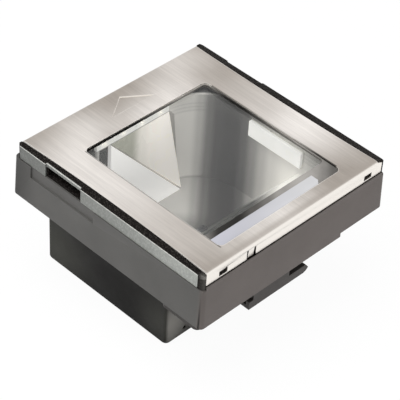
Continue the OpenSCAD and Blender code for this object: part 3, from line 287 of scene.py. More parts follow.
class Recipe:
    """A node tree, the place that its patterns read, and a short call for each node used often."""

    def __init__(self, tree, given_place=None):
        self.tree = tree
        self.given_place = given_place

    @property
    def at(self):
        """The place that was given, or else plain Object coordinates, made when first read."""
        if self.given_place is None:
            self.given_place = self.place()
        return self.given_place

    def feed(self, socket, value):
        """Links a socket to another, or sets its value."""
        if isinstance(value, bpy.types.NodeSocket):
            self.tree.links.new(value, socket)
        else:
            socket.default_value = value

    def add(self, kind, inputs=None, **settings):
        """Adds a node, sets its attributes, and fills or links its inputs by name or number."""
        made = self.tree.nodes.new(kind)
        for key, value in settings.items():
            setattr(made, key, value)
        for key, value in (inputs or {}).items():
            self.feed(made.inputs[key], value)
        return made

    def maths(self, operation, first, second=0.0, clamp=False):
        """One maths node's result."""
        inputs = {0: first, 1: second}
        return self.add("ShaderNodeMath", inputs, operation=operation, use_clamp=clamp).outputs[0]

    def chain(self, operation, values):
        """One maths operation on two or more values in turn."""
        result = values[0]
        for value in values[1:]:
            result = self.maths(operation, result, value)
        return result

    def times(self, *values):
        """The product of all the values."""
        return self.chain("MULTIPLY", values)

    def greatest(self, *values):
        """The greatest of all the values."""
        return self.chain("MAXIMUM", values)

    def vector(self, operation, first, second):
        """A vector maths node's outputs."""
        return self.add("ShaderNodeVectorMath", {0: first, 1: second}, operation=operation).outputs

    def dot(self, way, place=None):
        """How far a place lies along a direction."""
        return self.vector("DOT_PRODUCT", self.at if place is None else place, way)["Value"]

    def remap(self, value, low, high, new_low=0.0, new_high=1.0):
        """A value moved from one range to another, and held inside it."""
        inputs = {0: value, 1: low, 2: high, 3: new_low, 4: new_high}
        return self.add("ShaderNodeMapRange", inputs).outputs[0]

    def spread(self, level, low=0.0, high=1.0):
        """A noise's level spread over a new range."""
        return self.remap(level, 0.3, 0.7, low, high)

    def mix(self, factor, first, second, kind="MIX"):
        """Two colours mixed by a factor."""
        made = self.add("ShaderNodeMix", {}, data_type="RGBA", blend_type=kind)
        self.feed(made.inputs[0], factor)
        for number, value in ((6, first), (7, second)):
            linked = isinstance(value, bpy.types.NodeSocket)
            self.feed(made.inputs[number], value if linked else (*value[:3], 1))
        return made.outputs[2]

    def shade(self, tone, level):
        """A colour times one level."""
        if isinstance(level, float):
            grey = (level, level, level)
        else:
            grey = self.add("ShaderNodeCombineColor", {0: level, 1: level, 2: level}).outputs[0]
        return self.mix(1.0, tone, grey, "MULTIPLY")

    def ramp(self, factor, stops):
        """A soft ramp through (position, colour) stops."""
        made = self.add("ShaderNodeValToRGB", {0: factor})
        ramp = made.color_ramp
        ramp.interpolation = "EASE"
        while len(ramp.elements) < len(stops):
            ramp.elements.new(0.5)
        for element, (position, value) in zip(ramp.elements, stops):
            element.position = position
            element.color = (*value, 1)
        return made.outputs[0]

    def place(self, stretch=(1, 1, 1), offset=(0, 0, 0)):
        """Object coordinates, scaled and moved."""
        source = self.add("ShaderNodeTexCoord").outputs["Object"]
        return self.add("ShaderNodeMapping", {0: source, 1: offset, 3: stretch}).outputs[0]

    def noise(self, scale, detail=2.0, roughness=0.5, place=None):
        """A noise texture's level."""
        place = self.at if place is None else place
        inputs = {"Vector": place, "Scale": scale, "Detail": detail, "Roughness": roughness}
        return self.add("ShaderNodeTexNoise", inputs).outputs[0]

    def cells(self, scale, **settings):
        """The distance from the middles of a cell pattern."""
        inputs = {"Vector": self.at, "Scale": scale}
        return self.add("ShaderNodeTexVoronoi", inputs, **settings).outputs["Distance"]

    def axis(self, number, place=None):
        """One coordinate of a place."""
        return self.add("ShaderNodeSeparateXYZ", {0: self.at if place is None else place}).outputs[number]

    def ranged(self, value, low, high, soft):
        """A mask that is one between two limits."""
        return self.times(self.remap(value, low - soft, low), self.remap(value, high + soft, high))

    def within(self, number, low, high, soft):
        """A mask that is one between two millimetres of an axis."""
        return self.ranged(self.axis(number), low * MM, high * MM, soft * MM)

    def slope(self, number, low, high, new_low=0.0, new_high=1.0):
        """A level that changes from one millimetre of an axis to another."""
        return self.remap(self.axis(number), low * MM, high * MM, new_low, new_high)

    def across(self):
        """How far a point lies to the right, as the camera sees it."""
        turn = bpy.context.scene.scanner_studio.azimuth
        return self.dot((math.cos(turn), math.sin(turn), 0.0))

    def away(self):
        """How far a point lies from the camera, level with the ground."""
        turn = bpy.context.scene.scanner_studio.azimuth
        return self.dot((-math.sin(turn), math.cos(turn), 0.0))

    def patches(self, spots, place=None):
        """The sum of soft round patches, each given by its place, radius and level."""
        place = self.at if place is None else place
        total = 0.0
        for x, y, z, radius, level in spots:
            gap = self.vector("DISTANCE", place, (x * MM, y * MM, z * MM))["Value"]
            inputs = {0: gap, 1: radius * MM, 2: 0.0, 3: 0.0, 4: level}
            made = self.add("ShaderNodeMapRange", inputs, interpolation_type="SMOOTHSTEP")
            total = self.maths("ADD", total, made.outputs[0], clamp=True)
        return total

    def stroke(self, start, end, width):
        """A mask along a straight line between two points of the plan."""
        run = end - start
        way = run.normalized()
        offset = self.vector("SUBTRACT", self.at, (start.x, start.y, 0))[0]
        reach = self.maths("ABSOLUTE", self.dot((-way.y, way.x, 0), offset))
        travel = self.dot((way.x, way.y, 0), offset)
        return self.times(
            self.remap(travel, -width, 0.0),
            self.remap(travel, run.length + width, run.length),
            self.remap(reach, width, width * 0.4),
        )

    def effect(self, key, inputs):
        """Places a shared effect, with this material's own values, and gives its outputs."""
        if key not in effects:
            effects[key] = EFFECT_MAKERS[key]()
        made = self.tree.nodes.new("ShaderNodeGroup")
        made.node_tree = effects[key]
        for name, value in {"Vector": self.at, **inputs}.items():
            self.feed(made.inputs[name], value)
        return made.outputs


def start_effect(name, inputs, outputs):
    """A new shader group with a vector, float inputs and float outputs; gives its recipe and sockets."""
    tree = bpy.data.node_groups.new(name, "ShaderNodeTree")
    tree.interface.new_socket(name="Vector", in_out="INPUT", socket_type="NodeSocketVector")
    for label, value in inputs.items():
        socket = tree.interface.new_socket(name=label, in_out="INPUT", socket_type="NodeSocketFloat")
        socket.default_value = value
    for label in outputs:
        tree.interface.new_socket(name=label, in_out="OUTPUT", socket_type="NodeSocketFloat")
    given = tree.nodes.new("NodeGroupInput").outputs
    return Recipe(tree, given["Vector"]), given, tree.nodes.new("NodeGroupOutput").inputs


def grain_effect():
    """Spark-eroded grain of moulded plastic: a height, and a slow mottle."""
    made, given, result = start_effect("Moulded grain", {"Size": 0.0004}, ("Height", "Mottle"))
    fine = made.maths("DIVIDE", 1.0, given["Size"])
    height = made.maths("ADD", made.cells(fine, feature="SMOOTH_F1"), made.noise(fine, 3.0, 0.6))
    made.feed(result["Height"], height)
    made.feed(result["Mottle"], made.noise(28.0, 4.0, 0.55))
    return made.tree


def edge_wear_and_highlight_effect():
    """A mask of convex edges, broken up as rubbing leaves it; it lightens rubbed edges, and on the steel and
    the plastics it also paints edge highlights.
    """
    made, given, result = start_effect("Edge wear", {"Radius": 0.0006, "Break up": 220.0}, ("Mask",))
    rounded = made.add("ShaderNodeBevel", {"Radius": given["Radius"]}, samples=4).outputs[0]
    facing = made.add("ShaderNodeNewGeometry").outputs["Normal"]
    edge = made.remap(made.dot(facing, rounded), 0.999, 0.93)
    broken = made.remap(made.noise(given["Break up"], 4.0), 0.35, 0.65)
    made.feed(result["Mask"], made.times(edge, made.remap(broken, 0.0, 1.0, 0.45, 1.0)))
    return made.tree


def brushed_effect():
    """Long parallel streaks along Y, as an abrasive belt leaves them."""
    made, given, result = start_effect("Brushed lines", {"Pitch": 0.0002}, ("Streak", "Height", "Band"))
    fine = made.maths("DIVIDE", 1.0, given["Pitch"])
    thin = made.vector("MULTIPLY", made.at, (1.0, 0.018, 1.0))[0]
    wide = made.vector("MULTIPLY", made.at, (1.0, 0.06, 1.0))[0]
    streak = made.noise(fine, 2.0, 0.7, thin)
    coarse = made.noise(made.times(fine, 0.23), 2.0, 0.6, thin)
    made.feed(result["Streak"], made.times(made.maths("ADD", streak, coarse), 0.5))
    made.feed(result["Height"], streak)
    made.feed(result["Band"], made.noise(made.times(fine, 0.035), 2.0, 0.5, wide))
    return made.tree


EFFECT_MAKERS = {"grain": grain_effect, "wear_and_highlight": edge_wear_and_highlight_effect, "brushed": brushed_effect}
effects = {}


class Finish(Recipe):
    """A new material: its main shader with the constants set, and its output."""

    def __init__(self, name, **constants):
        self.material = bpy.data.materials.new(name)
        self.material.use_nodes = True
        super().__init__(self.material.node_tree)
        self.tree.nodes.clear()
        self.shader = self.add("ShaderNodeBsdfPrincipled")
        self.end = self.add("ShaderNodeOutputMaterial", {"Surface": self.shader.outputs[0]})
        for key, value in constants.items():
            self.shader.inputs[key.replace("_", " ")].default_value = value

    def blend_shader(self, factor, other):
        """Mixes another shader over the main one."""
        inputs = {0: factor, 1: self.shader.outputs[0], 2: other.outputs[0]}
        self.feed(self.end.inputs["Surface"], self.add("ShaderNodeMixShader", inputs).outputs[0])

    def done(self, tone, rough=None, bump=None, glow=None):
        """Feeds colour, roughness, a (height, depth, strength) bump and a glow; gives the material."""
        sockets = self.shader.inputs
        self.feed(sockets["Base Color"], tone)
        if rough is not None:
            self.feed(sockets["Roughness"], rough)
        if bump is not None:
            height, depth, strength = bump
            inputs = {"Height": height, "Distance": depth, "Strength": strength}
            self.feed(sockets["Normal"], self.add("ShaderNodeBump", inputs).outputs[0])
        if glow is not None:
            self.feed(sockets["Emission Color"], tone)
            sockets["Emission Strength"].default_value = glow
        return self.material


# Materials


def pressed_corners():
    """The corners of the pointer pressed into the cover, in plan."""
    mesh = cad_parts["top_cover"].data
    top = max(vert.co.z for vert in mesh.vertices)
    found = []
    for vert in mesh.vertices:
        if 0.1 * MM < top - vert.co.z < 0.8 * MM and vert.co.xy not in found:
            if all((vert.co.xy - other).length > MM for other in found):
                found.append(vert.co.xy.copy())
    inner = [spot for spot in found if abs(spot.x) < 60 * MM and abs(spot.y) < 70 * MM]
    return sorted(inner, key=lambda spot: spot.y)


def steel_finish(look):
    """Brushed stainless sheet with painted sheens, painted light on the flanges, painted shade and a painted
    highlight on the pressed pointer, painted shade by the front fold and beside the window, and bright edges
    that are partly painted highlights.
    """
    made = Finish("Brushed steel", Metallic=1.0, Anisotropic=0.45)
    lines = made.effect("brushed", {"Pitch": look.streak_pitch})
    drift = made.spread(made.noise(30.0, 3.0, place=made.place((1.0, 0.5, 1.0))), -0.12, 0.12)
    # Painted sheens: soft patches of reflected light over the plate's darker shade colour
    sheen = made.maths("ADD", made.patches(SHEENS), drift, clamp=True)
    tone = made.mix(sheen, look.shade, look.steel)
    streaks = made.spread(lines["Streak"], 0.88, 1.1)
    tone = made.shade(tone, made.times(streaks, made.spread(lines["Band"], 0.93, 1.06)))
    corners = pressed_corners()
    if len(corners) == 3:
        left, right = sorted(corners[:2], key=lambda spot: spot.x)
        apex = corners[2]
        # Painted shade along two sides of the pressed pointer, and a painted highlight along the side from
        # its apex to its right corner
        pointer_shade = made.greatest(made.stroke(left, apex, POINTER_LINE), made.stroke(left, right, POINTER_LINE))
        tone = made.mix(made.times(pointer_shade, 0.8), tone, look.shade)
        tone = made.mix(made.stroke(apex, right, 2 * POINTER_LINE), tone, look.lit_steel)
    low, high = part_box("name_strip")
    left_x = low.x - 0.2 * MM
    # Painted shadow along the sheet's turned edge left of the window
    turned = made.ranged(made.axis(0), left_x - 0.45 * MM, left_x + 0.3 * MM, 0.2 * MM)
    run = made.ranged(made.axis(1), low.y, 42 * MM, MM)
    tone = made.mix(made.times(turned, run, 0.75), tone, TURNED_LEFT)
    # Painted shade on the plate towards its front fold
    fold_shade = made.slope(1, -72.5, -75.5, 0.0, 0.55)
    tone = made.mix(fold_shade, tone, look.shade)
    # Painted light: faces that stand on edge, such as the folded flanges, take the lit steel colour
    facing = made.add("ShaderNodeNewGeometry").outputs["Normal"]
    lit_upright = made.remap(made.maths("ABSOLUTE", made.axis(2, facing)), 0.9, 0.5)
    tone = made.mix(lit_upright, tone, look.lit_steel)
    # Bright cut edges: partly rubbed, partly painted highlights
    wear_and_highlight = made.effect("wear_and_highlight", {"Radius": 0.0007, "Break up": 90.0})["Mask"]
    tone = made.mix(made.times(wear_and_highlight, 0.9), tone, look.edge)
    glass_low, glass_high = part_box("window_glass")
    right_x = glass_low.x + glass_high.x - left_x
    # Painted shadow along the turned edge right of the window, stronger towards its ends
    turned = made.ranged(made.axis(0), right_x - 0.3 * MM, right_x + 0.6 * MM, 0.25 * MM)
    ends = made.greatest(made.slope(1, -28, -50, 0.25, 0.95), made.slope(1, -14, 10, 0.25, 0.7))
    tone = made.mix(made.times(turned, made.within(1, -64, 38, 1), ends), tone, TURNED_RIGHT)
    rough = made.spread(lines["Streak"], look.roughness - 0.06, look.roughness + 0.08)
    return made.done(tone, rough, (lines["Height"], 0.000012, 0.6))


def moulded_finish(name, base, look, gloss=0.5, depth=1.0, size=1.0, wear_and_highlight_share=0.25, shine=0.3, extra=None):
    """Moulded plastic: fine grain, slow mottle, handled patches, and edges lightened partly by rubbing and
    partly as painted highlights.
    """
    made = Finish(name, Specular_IOR_Level=shine)
    grain = made.effect("grain", {"Size": look.grain_size * size})
    wear_and_highlight = made.effect("wear_and_highlight", {"Radius": 0.0006, "Break up": 260.0})["Mask"]
    start = extra(made, base) if extra else base
    tone = made.shade(start, made.spread(grain["Mottle"], 0.94, 1.06))
    lighter = [min(1.0, 1.9 * value + 0.012) for value in base]
    # Lighter edges: partly rubbed, partly painted highlights
    tone = made.mix(made.times(wear_and_highlight, wear_and_highlight_share), tone, lighter)
    smear = made.noise(45.0, 4.0, 0.6, made.place(offset=(0.2, 0.5, 0.1)))
    rough = made.spread(smear, gloss - 0.05, gloss + 0.07)
    return made.done(tone, rough, (grain["Height"], look.grain_depth * depth, 0.7))


def under_glass(made, dark, pale):
    """Painted light caught under the glass: dark at the left and right corners and in the middle, paler
    between them.
    """
    run = made.remap(made.across(), -55 * MM, 85 * MM)
    return made.ramp(run, [(spot, between(dark, pale, level)) for spot, level in GLINTS])


def rail_marks(made, base):
    """Fine light specks, painted light caught on the ledge under the glass, and painted light with a painted
    highlight on the front left post.
    """
    specks = made.remap(made.noise(1400.0), 0.52, 0.68)
    tone = made.mix(made.times(specks, 0.5), base, paint(84, 80, 76))
    # Painted light caught on the ledge under the glass
    low = made.slope(2, 93.6, 93.2)
    ledge = made.times(made.within(0, -60, 54, 1), made.within(1, -73, 51, 1), low)
    tone = made.mix(ledge, tone, under_glass(made, base, paint(150, 146, 142)))
    # Painted light on the front left post, and a painted highlight along its top edge
    post = made.patches(POST_LIGHT, made.place((1, 1, 0)))
    tone = made.mix(made.times(post, 0.8), tone, paint(78, 76, 73))
    post_highlight = made.within(2, 92.6, 94.4, 0.5)
    return made.mix(made.times(post, post_highlight), tone, paint(112, 110, 106))


def trim_marks(made, base):
    """Paler towards the front, with a painted highlight along the top edge and fine specks."""
    stops = [(0.0, dim(base, 0.62)), (0.6, base), (1.0, dim(base, 1.5))]
    tone = made.ramp(made.slope(1, 72, -72), stops)
    # Painted highlight along the trim's top edge
    top = made.within(2, 93.2, 94, 0.2)
    tone = made.mix(made.times(top, 0.7), tone, paint(222, 222, 216))
    return made.shade(tone, made.remap(made.noise(900.0, 3.0), 0.45, 0.65, 0.82, 1.08))


def upper_marks(made, base):
    """A dark parting line down the front left corner with a painted highlight either side of it, a warmer
    front, and painted shade on the back end.
    """
    flat = made.place((1, 1, 0))
    warm = (base[0] * 1.1, base[1] * 0.98, base[2] * 0.96)
    tone = made.mix(made.slope(1, -76, -78), base, warm)
    tone = made.mix(made.slope(1, 58, 76, 0.0, 0.7), tone, dim(base, 0.35))
    # Painted highlight either side of the corner's parting line
    tone = made.mix(made.patches(CORNER_HIGHLIGHT, flat), tone, dim(warm, 1.3))
    return made.mix(made.patches(CORNER_LINE, flat), tone, paint(14, 14, 12))


def lower_marks(made, base):
    """Painted light from the counter's opening on parts of the lower housing."""
    tone = made.mix(made.patches(LOWER_PATCHES), base, paint(88, 88, 82))
    front = made.slope(1, -36.2, -37.2)
    return made.mix(made.times(made.patches(LOWER_CORNER), front), tone, paint(112, 110, 106))


def glass_finish(look):
    """Clear glass that lets the lamps' light through, with faint wiping marks."""
    made = Finish("Window glass", Transmission_Weight=1.0, IOR=1.46, Metallic=0.0, Specular_IOR_Level=0.3)
    tint = (*look.tint, 1)
    path = made.add("ShaderNodeLightPath").outputs
    passed = made.greatest(path["Is Shadow Ray"], path["Is Diffuse Ray"])
    made.blend_shader(passed, made.add("ShaderNodeBsdfTransparent", {0: tint}))
    wipe = made.noise(60.0, 4.0, 0.6, made.place((1.0, 0.25, 1.0)))
    return made.done(tint, made.remap(wipe, 0.45, 0.8, 0.0, 0.03))


def rubber_finish(look):
    """Soft black rubber, paler where the glass above it catches the light."""
    made = Finish("Gasket rubber", Specular_IOR_Level=0.05)
    soft = made.noise(90.0, 4.0, 0.6)
    base = under_glass(made, look.gasket, look.gasket_pale)
    tone = made.mix(made.spread(soft), base, made.shade(base, 1.3))
    return made.done(tone, made.spread(soft, 0.5, 0.7), (made.noise(1800.0, 3.0), 0.00002, 0.5))


def strip_finish(look):
    """Satin printed film, left bare."""
    made = Finish("Bare name strip", Metallic=0.35, Coat_Weight=0.3, Coat_Roughness=0.15)
    sheen = made.noise(24.0, place=made.place((1.0, 2.0, 1.0)))
    base = made.mix(made.slope(0, -46, 20), dim(look.strip, 0.72), look.strip_pale)
    tone = made.mix(made.remap(sheen, 0.35, 0.65), made.shade(base, 0.88), base)
    return made.done(tone, made.spread(sheen, 0.3, 0.42), (made.noise(2600.0), 0.000006, 0.4))


def well_finish(look):
    """Satin wall of the optics well, with painted light where the lamps reach it, painted shade across its
    bend, to the left, on its floor, at the far right and by the front, and a painted glow for the light it
    passes on.
    """
    made = Finish("Optics well", Specular_IOR_Level=0.15)
    dark = look.wall_dark
    aside = made.across()
    run = made.remap(aside, -20 * MM, 60 * MM)
    band = made.ramp(run, [(spot, between(dark, look.wall_light, level)) for spot, level in WELL_TONES])
    tone = made.mix(made.slope(0, -40, -36, 1.0, 0.0), band, look.corner)
    tone = made.mix(made.slope(2, 76, 80, 0.0, 0.12), tone, look.rim)
    steps = made.greatest(*[made.within(2, low, high, 0.3) for low, high in WELL_STEPS])
    tone = made.mix(made.times(steps, 0.12), tone, dark)
    # Painted shade on the well's floor towards the left
    floor = made.times(made.slope(2, 26, 24), made.remap(aside, 10 * MM, 0.0), 0.42)
    tone = made.mix(floor, tone, dark)
    # Painted shade towards the far right
    tone = made.mix(made.remap(aside, 57 * MM, 76 * MM, 0.0, 0.9), tone, dark)
    # Painted shade close to the front of the well, across its middle
    near_shade = made.remap(made.away(), 24 * MM, 0.0)
    middle = made.ranged(aside, -22 * MM, 32 * MM, 16 * MM)
    tone = made.mix(made.times(near_shade, middle), tone, look.near_shade)
    cloud = made.spread(made.noise(30.0, 3.0), 0.95, 1.04)
    rough = made.remap(cloud, 0.95, 1.04, 0.34, 0.42)
    return made.done(made.shade(tone, cloud), rough, (made.noise(1200.0), 0.00001, 0.2), look.wall_glow)


def facet_finish(name, base, look, side_shade, lift=1.0):
    """A bright satin mirror facet with a painted glow for the lamps' light it passes on, and painted shade
    to one side.
    """
    made = Finish(name, Specular_IOR_Level=0.5, Coat_Weight=0.4, Coat_Roughness=0.08)
    run = made.remap(made.across(), -45 * MM, -20 * MM)
    stops = []
    for spot, level in FACET_TONES:
        stops.append((spot, [value * (low + (1 - low) * level) for value, low in zip(base, side_shade)]))
    tone = made.shade(made.ramp(run, stops), made.spread(made.noise(22.0), 0.95, 1.03))
    return made.done(tone, made.spread(made.noise(70.0, 3.0), 0.2, 0.34), glow=look.facet_glow * lift)


def carrier_finish(look):
    """Satin carrier, unlit where it stands out beside the mirrors' left end."""
    made = Finish("Mirror carrier", Specular_IOR_Level=0.15, Roughness=0.5)
    base = made.mix(made.spread(made.noise(60.0, 3.0)), paint(176, 173, 168), paint(188, 185, 180))
    tone = made.mix(made.slope(0, -26, -27.5), base, look.corner)
    return made.done(tone, bump=(made.noise(2000.0), 0.00001, 0.5))


def lamp_finish(name, look, strength):
    """A lit emitter under its lens, its brightness varying a little across it."""
    made = Finish(name, Roughness=0.3)
    level = made.spread(made.noise(300.0), 0.85, 1.0)
    return made.done(made.mix(level, dim(look.lamp, 0.8), look.lamp), glow=strength)


def light_bar_finish(look, centres):
    """Frosted bar that glows round each lamp behind it."""
    made = Finish("Frosted bar", Transmission_Weight=0.15, Metallic=0.0)
    side = made.axis(0)
    spots = []
    for centre in centres:
        reach = made.maths("ABSOLUTE", made.maths("SUBTRACT", side, centre))
        spots.append(made.remap(reach, 4.2 * MM, 0.0))
    frost = made.spread(made.noise(160.0, 3.0), 0.9, 1.0)
    base = made.mix(frost, (0.70, 0.71, 0.68), (0.84, 0.84, 0.82))
    tone = made.mix(made.greatest(*spots), base, look.lamp)
    tone = made.mix(made.slope(2, 86.1, 85.5, 0.0, 0.7), tone, (0.1, 0.1, 0.09))
    return made.done(tone, made.remap(frost, 0.9, 1.0, 0.25, 0.4), glow=look.bar_glow)


def diffuser_finish(look):
    """Opal diffuser, lit evenly from behind."""
    made = Finish("Opal diffuser", Specular_IOR_Level=0.4)
    cloud = made.spread(made.noise(90.0))
    tone = made.mix(cloud, (0.84, 0.84, 0.82), (0.92, 0.92, 0.90))
    return made.done(tone, made.remap(cloud, 0.0, 1.0, 0.3, 0.4), glow=look.diffuser_glow)


def metal_finish(name, base, roughness=0.3):
    """Plated metal with fine tool marks and a little tarnish."""
    made = Finish(name, Metallic=1.0)
    tarnish = made.spread(made.noise(160.0, 4.0))
    wear_and_highlight = made.effect("wear_and_highlight", {"Radius": 0.0002, "Break up": 600.0})["Mask"]
    tone = made.mix(tarnish, dim(base, 0.74), base)
    tone = made.mix(made.times(wear_and_highlight, 0.5), tone, (0.9, 0.89, 0.87))
    rough = made.remap(tarnish, 0.0, 1.0, roughness + 0.12, roughness)
    return made.done(tone, rough, (made.noise(900.0, place=made.place((1, 0.1, 1))), 0.00001, 0.5))


def board_finish(name, look, mask=None):
    """Solder mask, green where no other colour is given, over copper tracks and plated holes."""
    mask = mask or look.board
    made = Finish(name, Specular_IOR_Level=0.5, Coat_Weight=0.3)
    tracks = made.remap(made.cells(260.0, distance="MANHATTAN"), 0.42, 0.5)
    pads = made.remap(made.cells(150.0), 0.14, 0.1)
    tone = made.mix(tracks, mask, [min(1.0, value * 1.5 + 0.01) for value in mask])
    tone = made.mix(pads, tone, (0.5, 0.5, 0.46))
    return made.done(tone, made.remap(pads, 0.0, 1.0, 0.38, 0.25), (tracks, 0.00003, 0.6))


def dark_finish(name, base, roughness=0.45):
    """Dark moulded resin or anodised metal of the inner pieces."""
    made = Finish(name, Specular_IOR_Level=0.4)
    mottle = made.spread(made.noise(120.0, 4.0))
    rough = made.remap(mottle, 0.0, 1.0, roughness - 0.06, roughness + 0.08)
    return made.done(made.mix(mottle, dim(base, 0.8), base), rough, (made.noise(1500.0, 3.0), 0.000015, 0.6))


def lens_finish():
    """Coated lens glass with a faint violet reflection."""
    made = Finish(
        "Coated lens", Transmission_Weight=0.6, Metallic=0.0, IOR=1.6, Coat_Weight=0.8, Coat_Roughness=0.03
    )
    facing = made.add("ShaderNodeLayerWeight", {"Blend": 0.35}).outputs["Facing"]
    tone = made.mix(facing, (0.05, 0.04, 0.09), (0.18, 0.12, 0.3))
    return made.done(tone, made.remap(made.noise(700.0), 0.4, 0.8, 0.02, 0.08))


# Mesh helpers


def new_object(name, data):
    """Links a new object to the scene."""
    made = bpy.data.objects.new(name, data)
    bpy.context.scene.collection.objects.link(made)
    return made


def new_piece(name, mesh, finish):
    """Links a finished mesh as a piece that rides on the body."""
    made = new_object(name, mesh)
    mesh.materials.clear()
    mesh.materials.append(finish)
    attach(made, BODY)
    return made


def dressed(node, finish, radius, segments=2):
    """Copies a construction part, welds it, and rounds its edges. The copy then stands for the part."""
    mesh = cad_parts[node].data.copy()
    shape = bmesh.new()
    shape.from_mesh(mesh)
    bmesh.ops.remove_doubles(shape, verts=shape.verts, dist=WELD)
    bmesh.ops.dissolve_limit(shape, angle_limit=FLAT, verts=shape.verts, edges=shape.edges)
    shape.to_mesh(mesh)
    shape.free()
    mesh.shade_smooth()
    mesh.set_sharp_from_angle(angle=CREASE)
    made = new_piece(node + "_skin", mesh, finish)
    bevel = made.modifiers.new("Rounded edges", "BEVEL")
    bevel.width = radius
    bevel.segments = segments
    bevel.limit_method = "ANGLE"
    bevel.angle_limit = CREASE
    bevel.harden_normals = True
    bevel.miter_outer = "MITER_ARC"
    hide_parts(node)


def islands(node):
    """The lowest and highest corner of each separate solid in a construction part."""
    shape = bmesh.new()
    shape.from_mesh(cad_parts[node].data)
    bmesh.ops.remove_doubles(shape, verts=shape.verts, dist=WELD)
    left = set(shape.verts)
    found = []
    while left:
        stack = [left.pop()]
        low = stack[0].co.copy()
        high = stack[0].co.copy()
        while stack:
            vert = stack.pop()
            low = Vector(map(min, low, vert.co))
            high = Vector(map(max, high, vert.co))
            for edge in vert.link_edges:
                other = edge.other_vert(vert)
                if other in left:
                    left.remove(other)
                    stack.append(other)
        found.append((low, high))
    shape.free()
    return sorted(found, key=lambda pair: tuple(pair[0]))


def give_material(node, finish):
    """Puts a finish on a construction part that is shown as it is."""
    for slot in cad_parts[node].material_slots:
        slot.material = finish


# Geometry Nodes


class Shape(Recipe):
    """A geometry tree with named inputs, given by their kinds, and a material."""

    def __init__(self, name, inputs):
        super().__init__(bpy.data.node_groups.new(name, "GeometryNodeTree"))
        sockets = {"Geometry": "Geometry", **inputs, "Material": "Material"}
        for label, kind in sockets.items():
            self.tree.interface.new_socket(name=label, in_out="INPUT", socket_type="NodeSocket" + kind)
        self.tree.interface.new_socket(
            name="Geometry", in_out="OUTPUT", socket_type="NodeSocketGeometry"
        )
        self.given = self.tree.nodes.new("NodeGroupInput").outputs
        self.result = self.tree.nodes.new("NodeGroupOutput").inputs

    def move(self, geometry, height):
        """Raises a shape."""
        lift = self.add("ShaderNodeCombineXYZ", {2: height}).outputs[0]
        return self.add("GeometryNodeTransform", {"Geometry": geometry, "Translation": lift}).outputs[0]

    def copies(self, points, instance, **inputs):
        """Instances of a shape at points."""
        inputs = {"Points": points, "Instance": instance, **inputs}
        return self.add("GeometryNodeInstanceOnPoints", inputs).outputs[0]

    def done(self, shape, **inputs):
        """Puts the shape at every given point, realised and with one material; gives the tree."""
        spots = self.add("GeometryNodeMeshToPoints", {"Mesh": self.given["Geometry"]}).outputs[0]
        placed = self.copies(spots, shape, **inputs)
        real = self.add("GeometryNodeRealizeInstances", {0: placed}).outputs[0]
        inputs = {"Geometry": real, "Material": self.given["Material"]}
        self.feed(self.result[0], self.add("GeometryNodeSetMaterial", inputs).outputs[0])
        return self.tree


def run_shape(tree, name, points, values):
    """Runs a geometry tree on a cloud of points and gives the result as a plain mesh."""
    cloud = bpy.data.meshes.new(name)
    cloud.from_pydata([tuple(point) for point in points], [], [])
    carrier = new_object(name, cloud)
    modifier = carrier.modifiers.new("Shape", "NODES")
    modifier.node_group = tree
    for item in tree.interface.items_tree:
        if item.in_out == "INPUT" and item.name in values:
            modifier[item.identifier] = values[item.name]
    bpy.context.view_layer.update()
    graph = bpy.context.evaluated_depsgraph_get()
    mesh = bpy.data.meshes.new_from_object(carrier.evaluated_get(graph), depsgraph=graph)
    carrier.modifiers.clear()
    bpy.data.objects.remove(carrier)
    return mesh


def screw_tree():
    """Pan-head screws: a domed head with a cross recess, and a shank, at every point."""
    names = ("Head Radius", "Head Height", "Shank Radius", "Shank Length", "Recess Width", "Recess Depth")
    made = Shape("Pan head screws", {**dict.fromkeys(names, "Float"), "Turn": "Vector"})
    head_r, head_h, shank_r, shank_h, recess_w, recess_h = [made.given[name] for name in names]
    head = made.add("GeometryNodeMeshBoolean", operation="UNION", solver="EXACT")
    for low, high, bottom, top in HEAD_LAYERS:
        inputs = {
            "Vertices": 40,
            "Radius Bottom": made.times(head_r, bottom),
            "Radius Top": made.times(head_r, top),
            "Depth": made.times(head_h, high - low),
        }
        layer = made.add("GeometryNodeMeshCone", inputs).outputs["Mesh"]
        made.feed(head.inputs["Mesh 2"], made.move(layer, made.times(head_h, low - 1.0)))
    inputs = {"Mesh 1": head.outputs[0]}
    recess = made.add("GeometryNodeMeshBoolean", inputs, operation="DIFFERENCE", solver="EXACT")
    long = made.times(head_r, 1.15)
    deep = made.times(recess_h, 2.0)
    head_top = made.times(head_h, -1.0)
    for wide, tall in ((long, recess_w), (recess_w, long)):
        size = made.add("ShaderNodeCombineXYZ", {0: wide, 1: tall, 2: deep}).outputs[0]
        arm = made.add("GeometryNodeMeshCube", {"Size": size}).outputs["Mesh"]
        made.feed(recess.inputs["Mesh 2"], made.move(arm, head_top))
    inputs = {"Vertices": 24, "Radius": shank_r, "Depth": shank_h}
    shank = made.add("GeometryNodeMeshCylinder", inputs).outputs["Mesh"]
    join = made.add("GeometryNodeJoinGeometry")
    made.feed(join.inputs[0], recess.outputs[0])
    made.feed(join.inputs[0], made.move(shank, made.times(shank_h, 0.5)))
    turned = made.add("FunctionNodeEulerToRotation", {0: made.given["Turn"]}).outputs[0]
    return made.done(join.outputs[0], Rotation=turned)


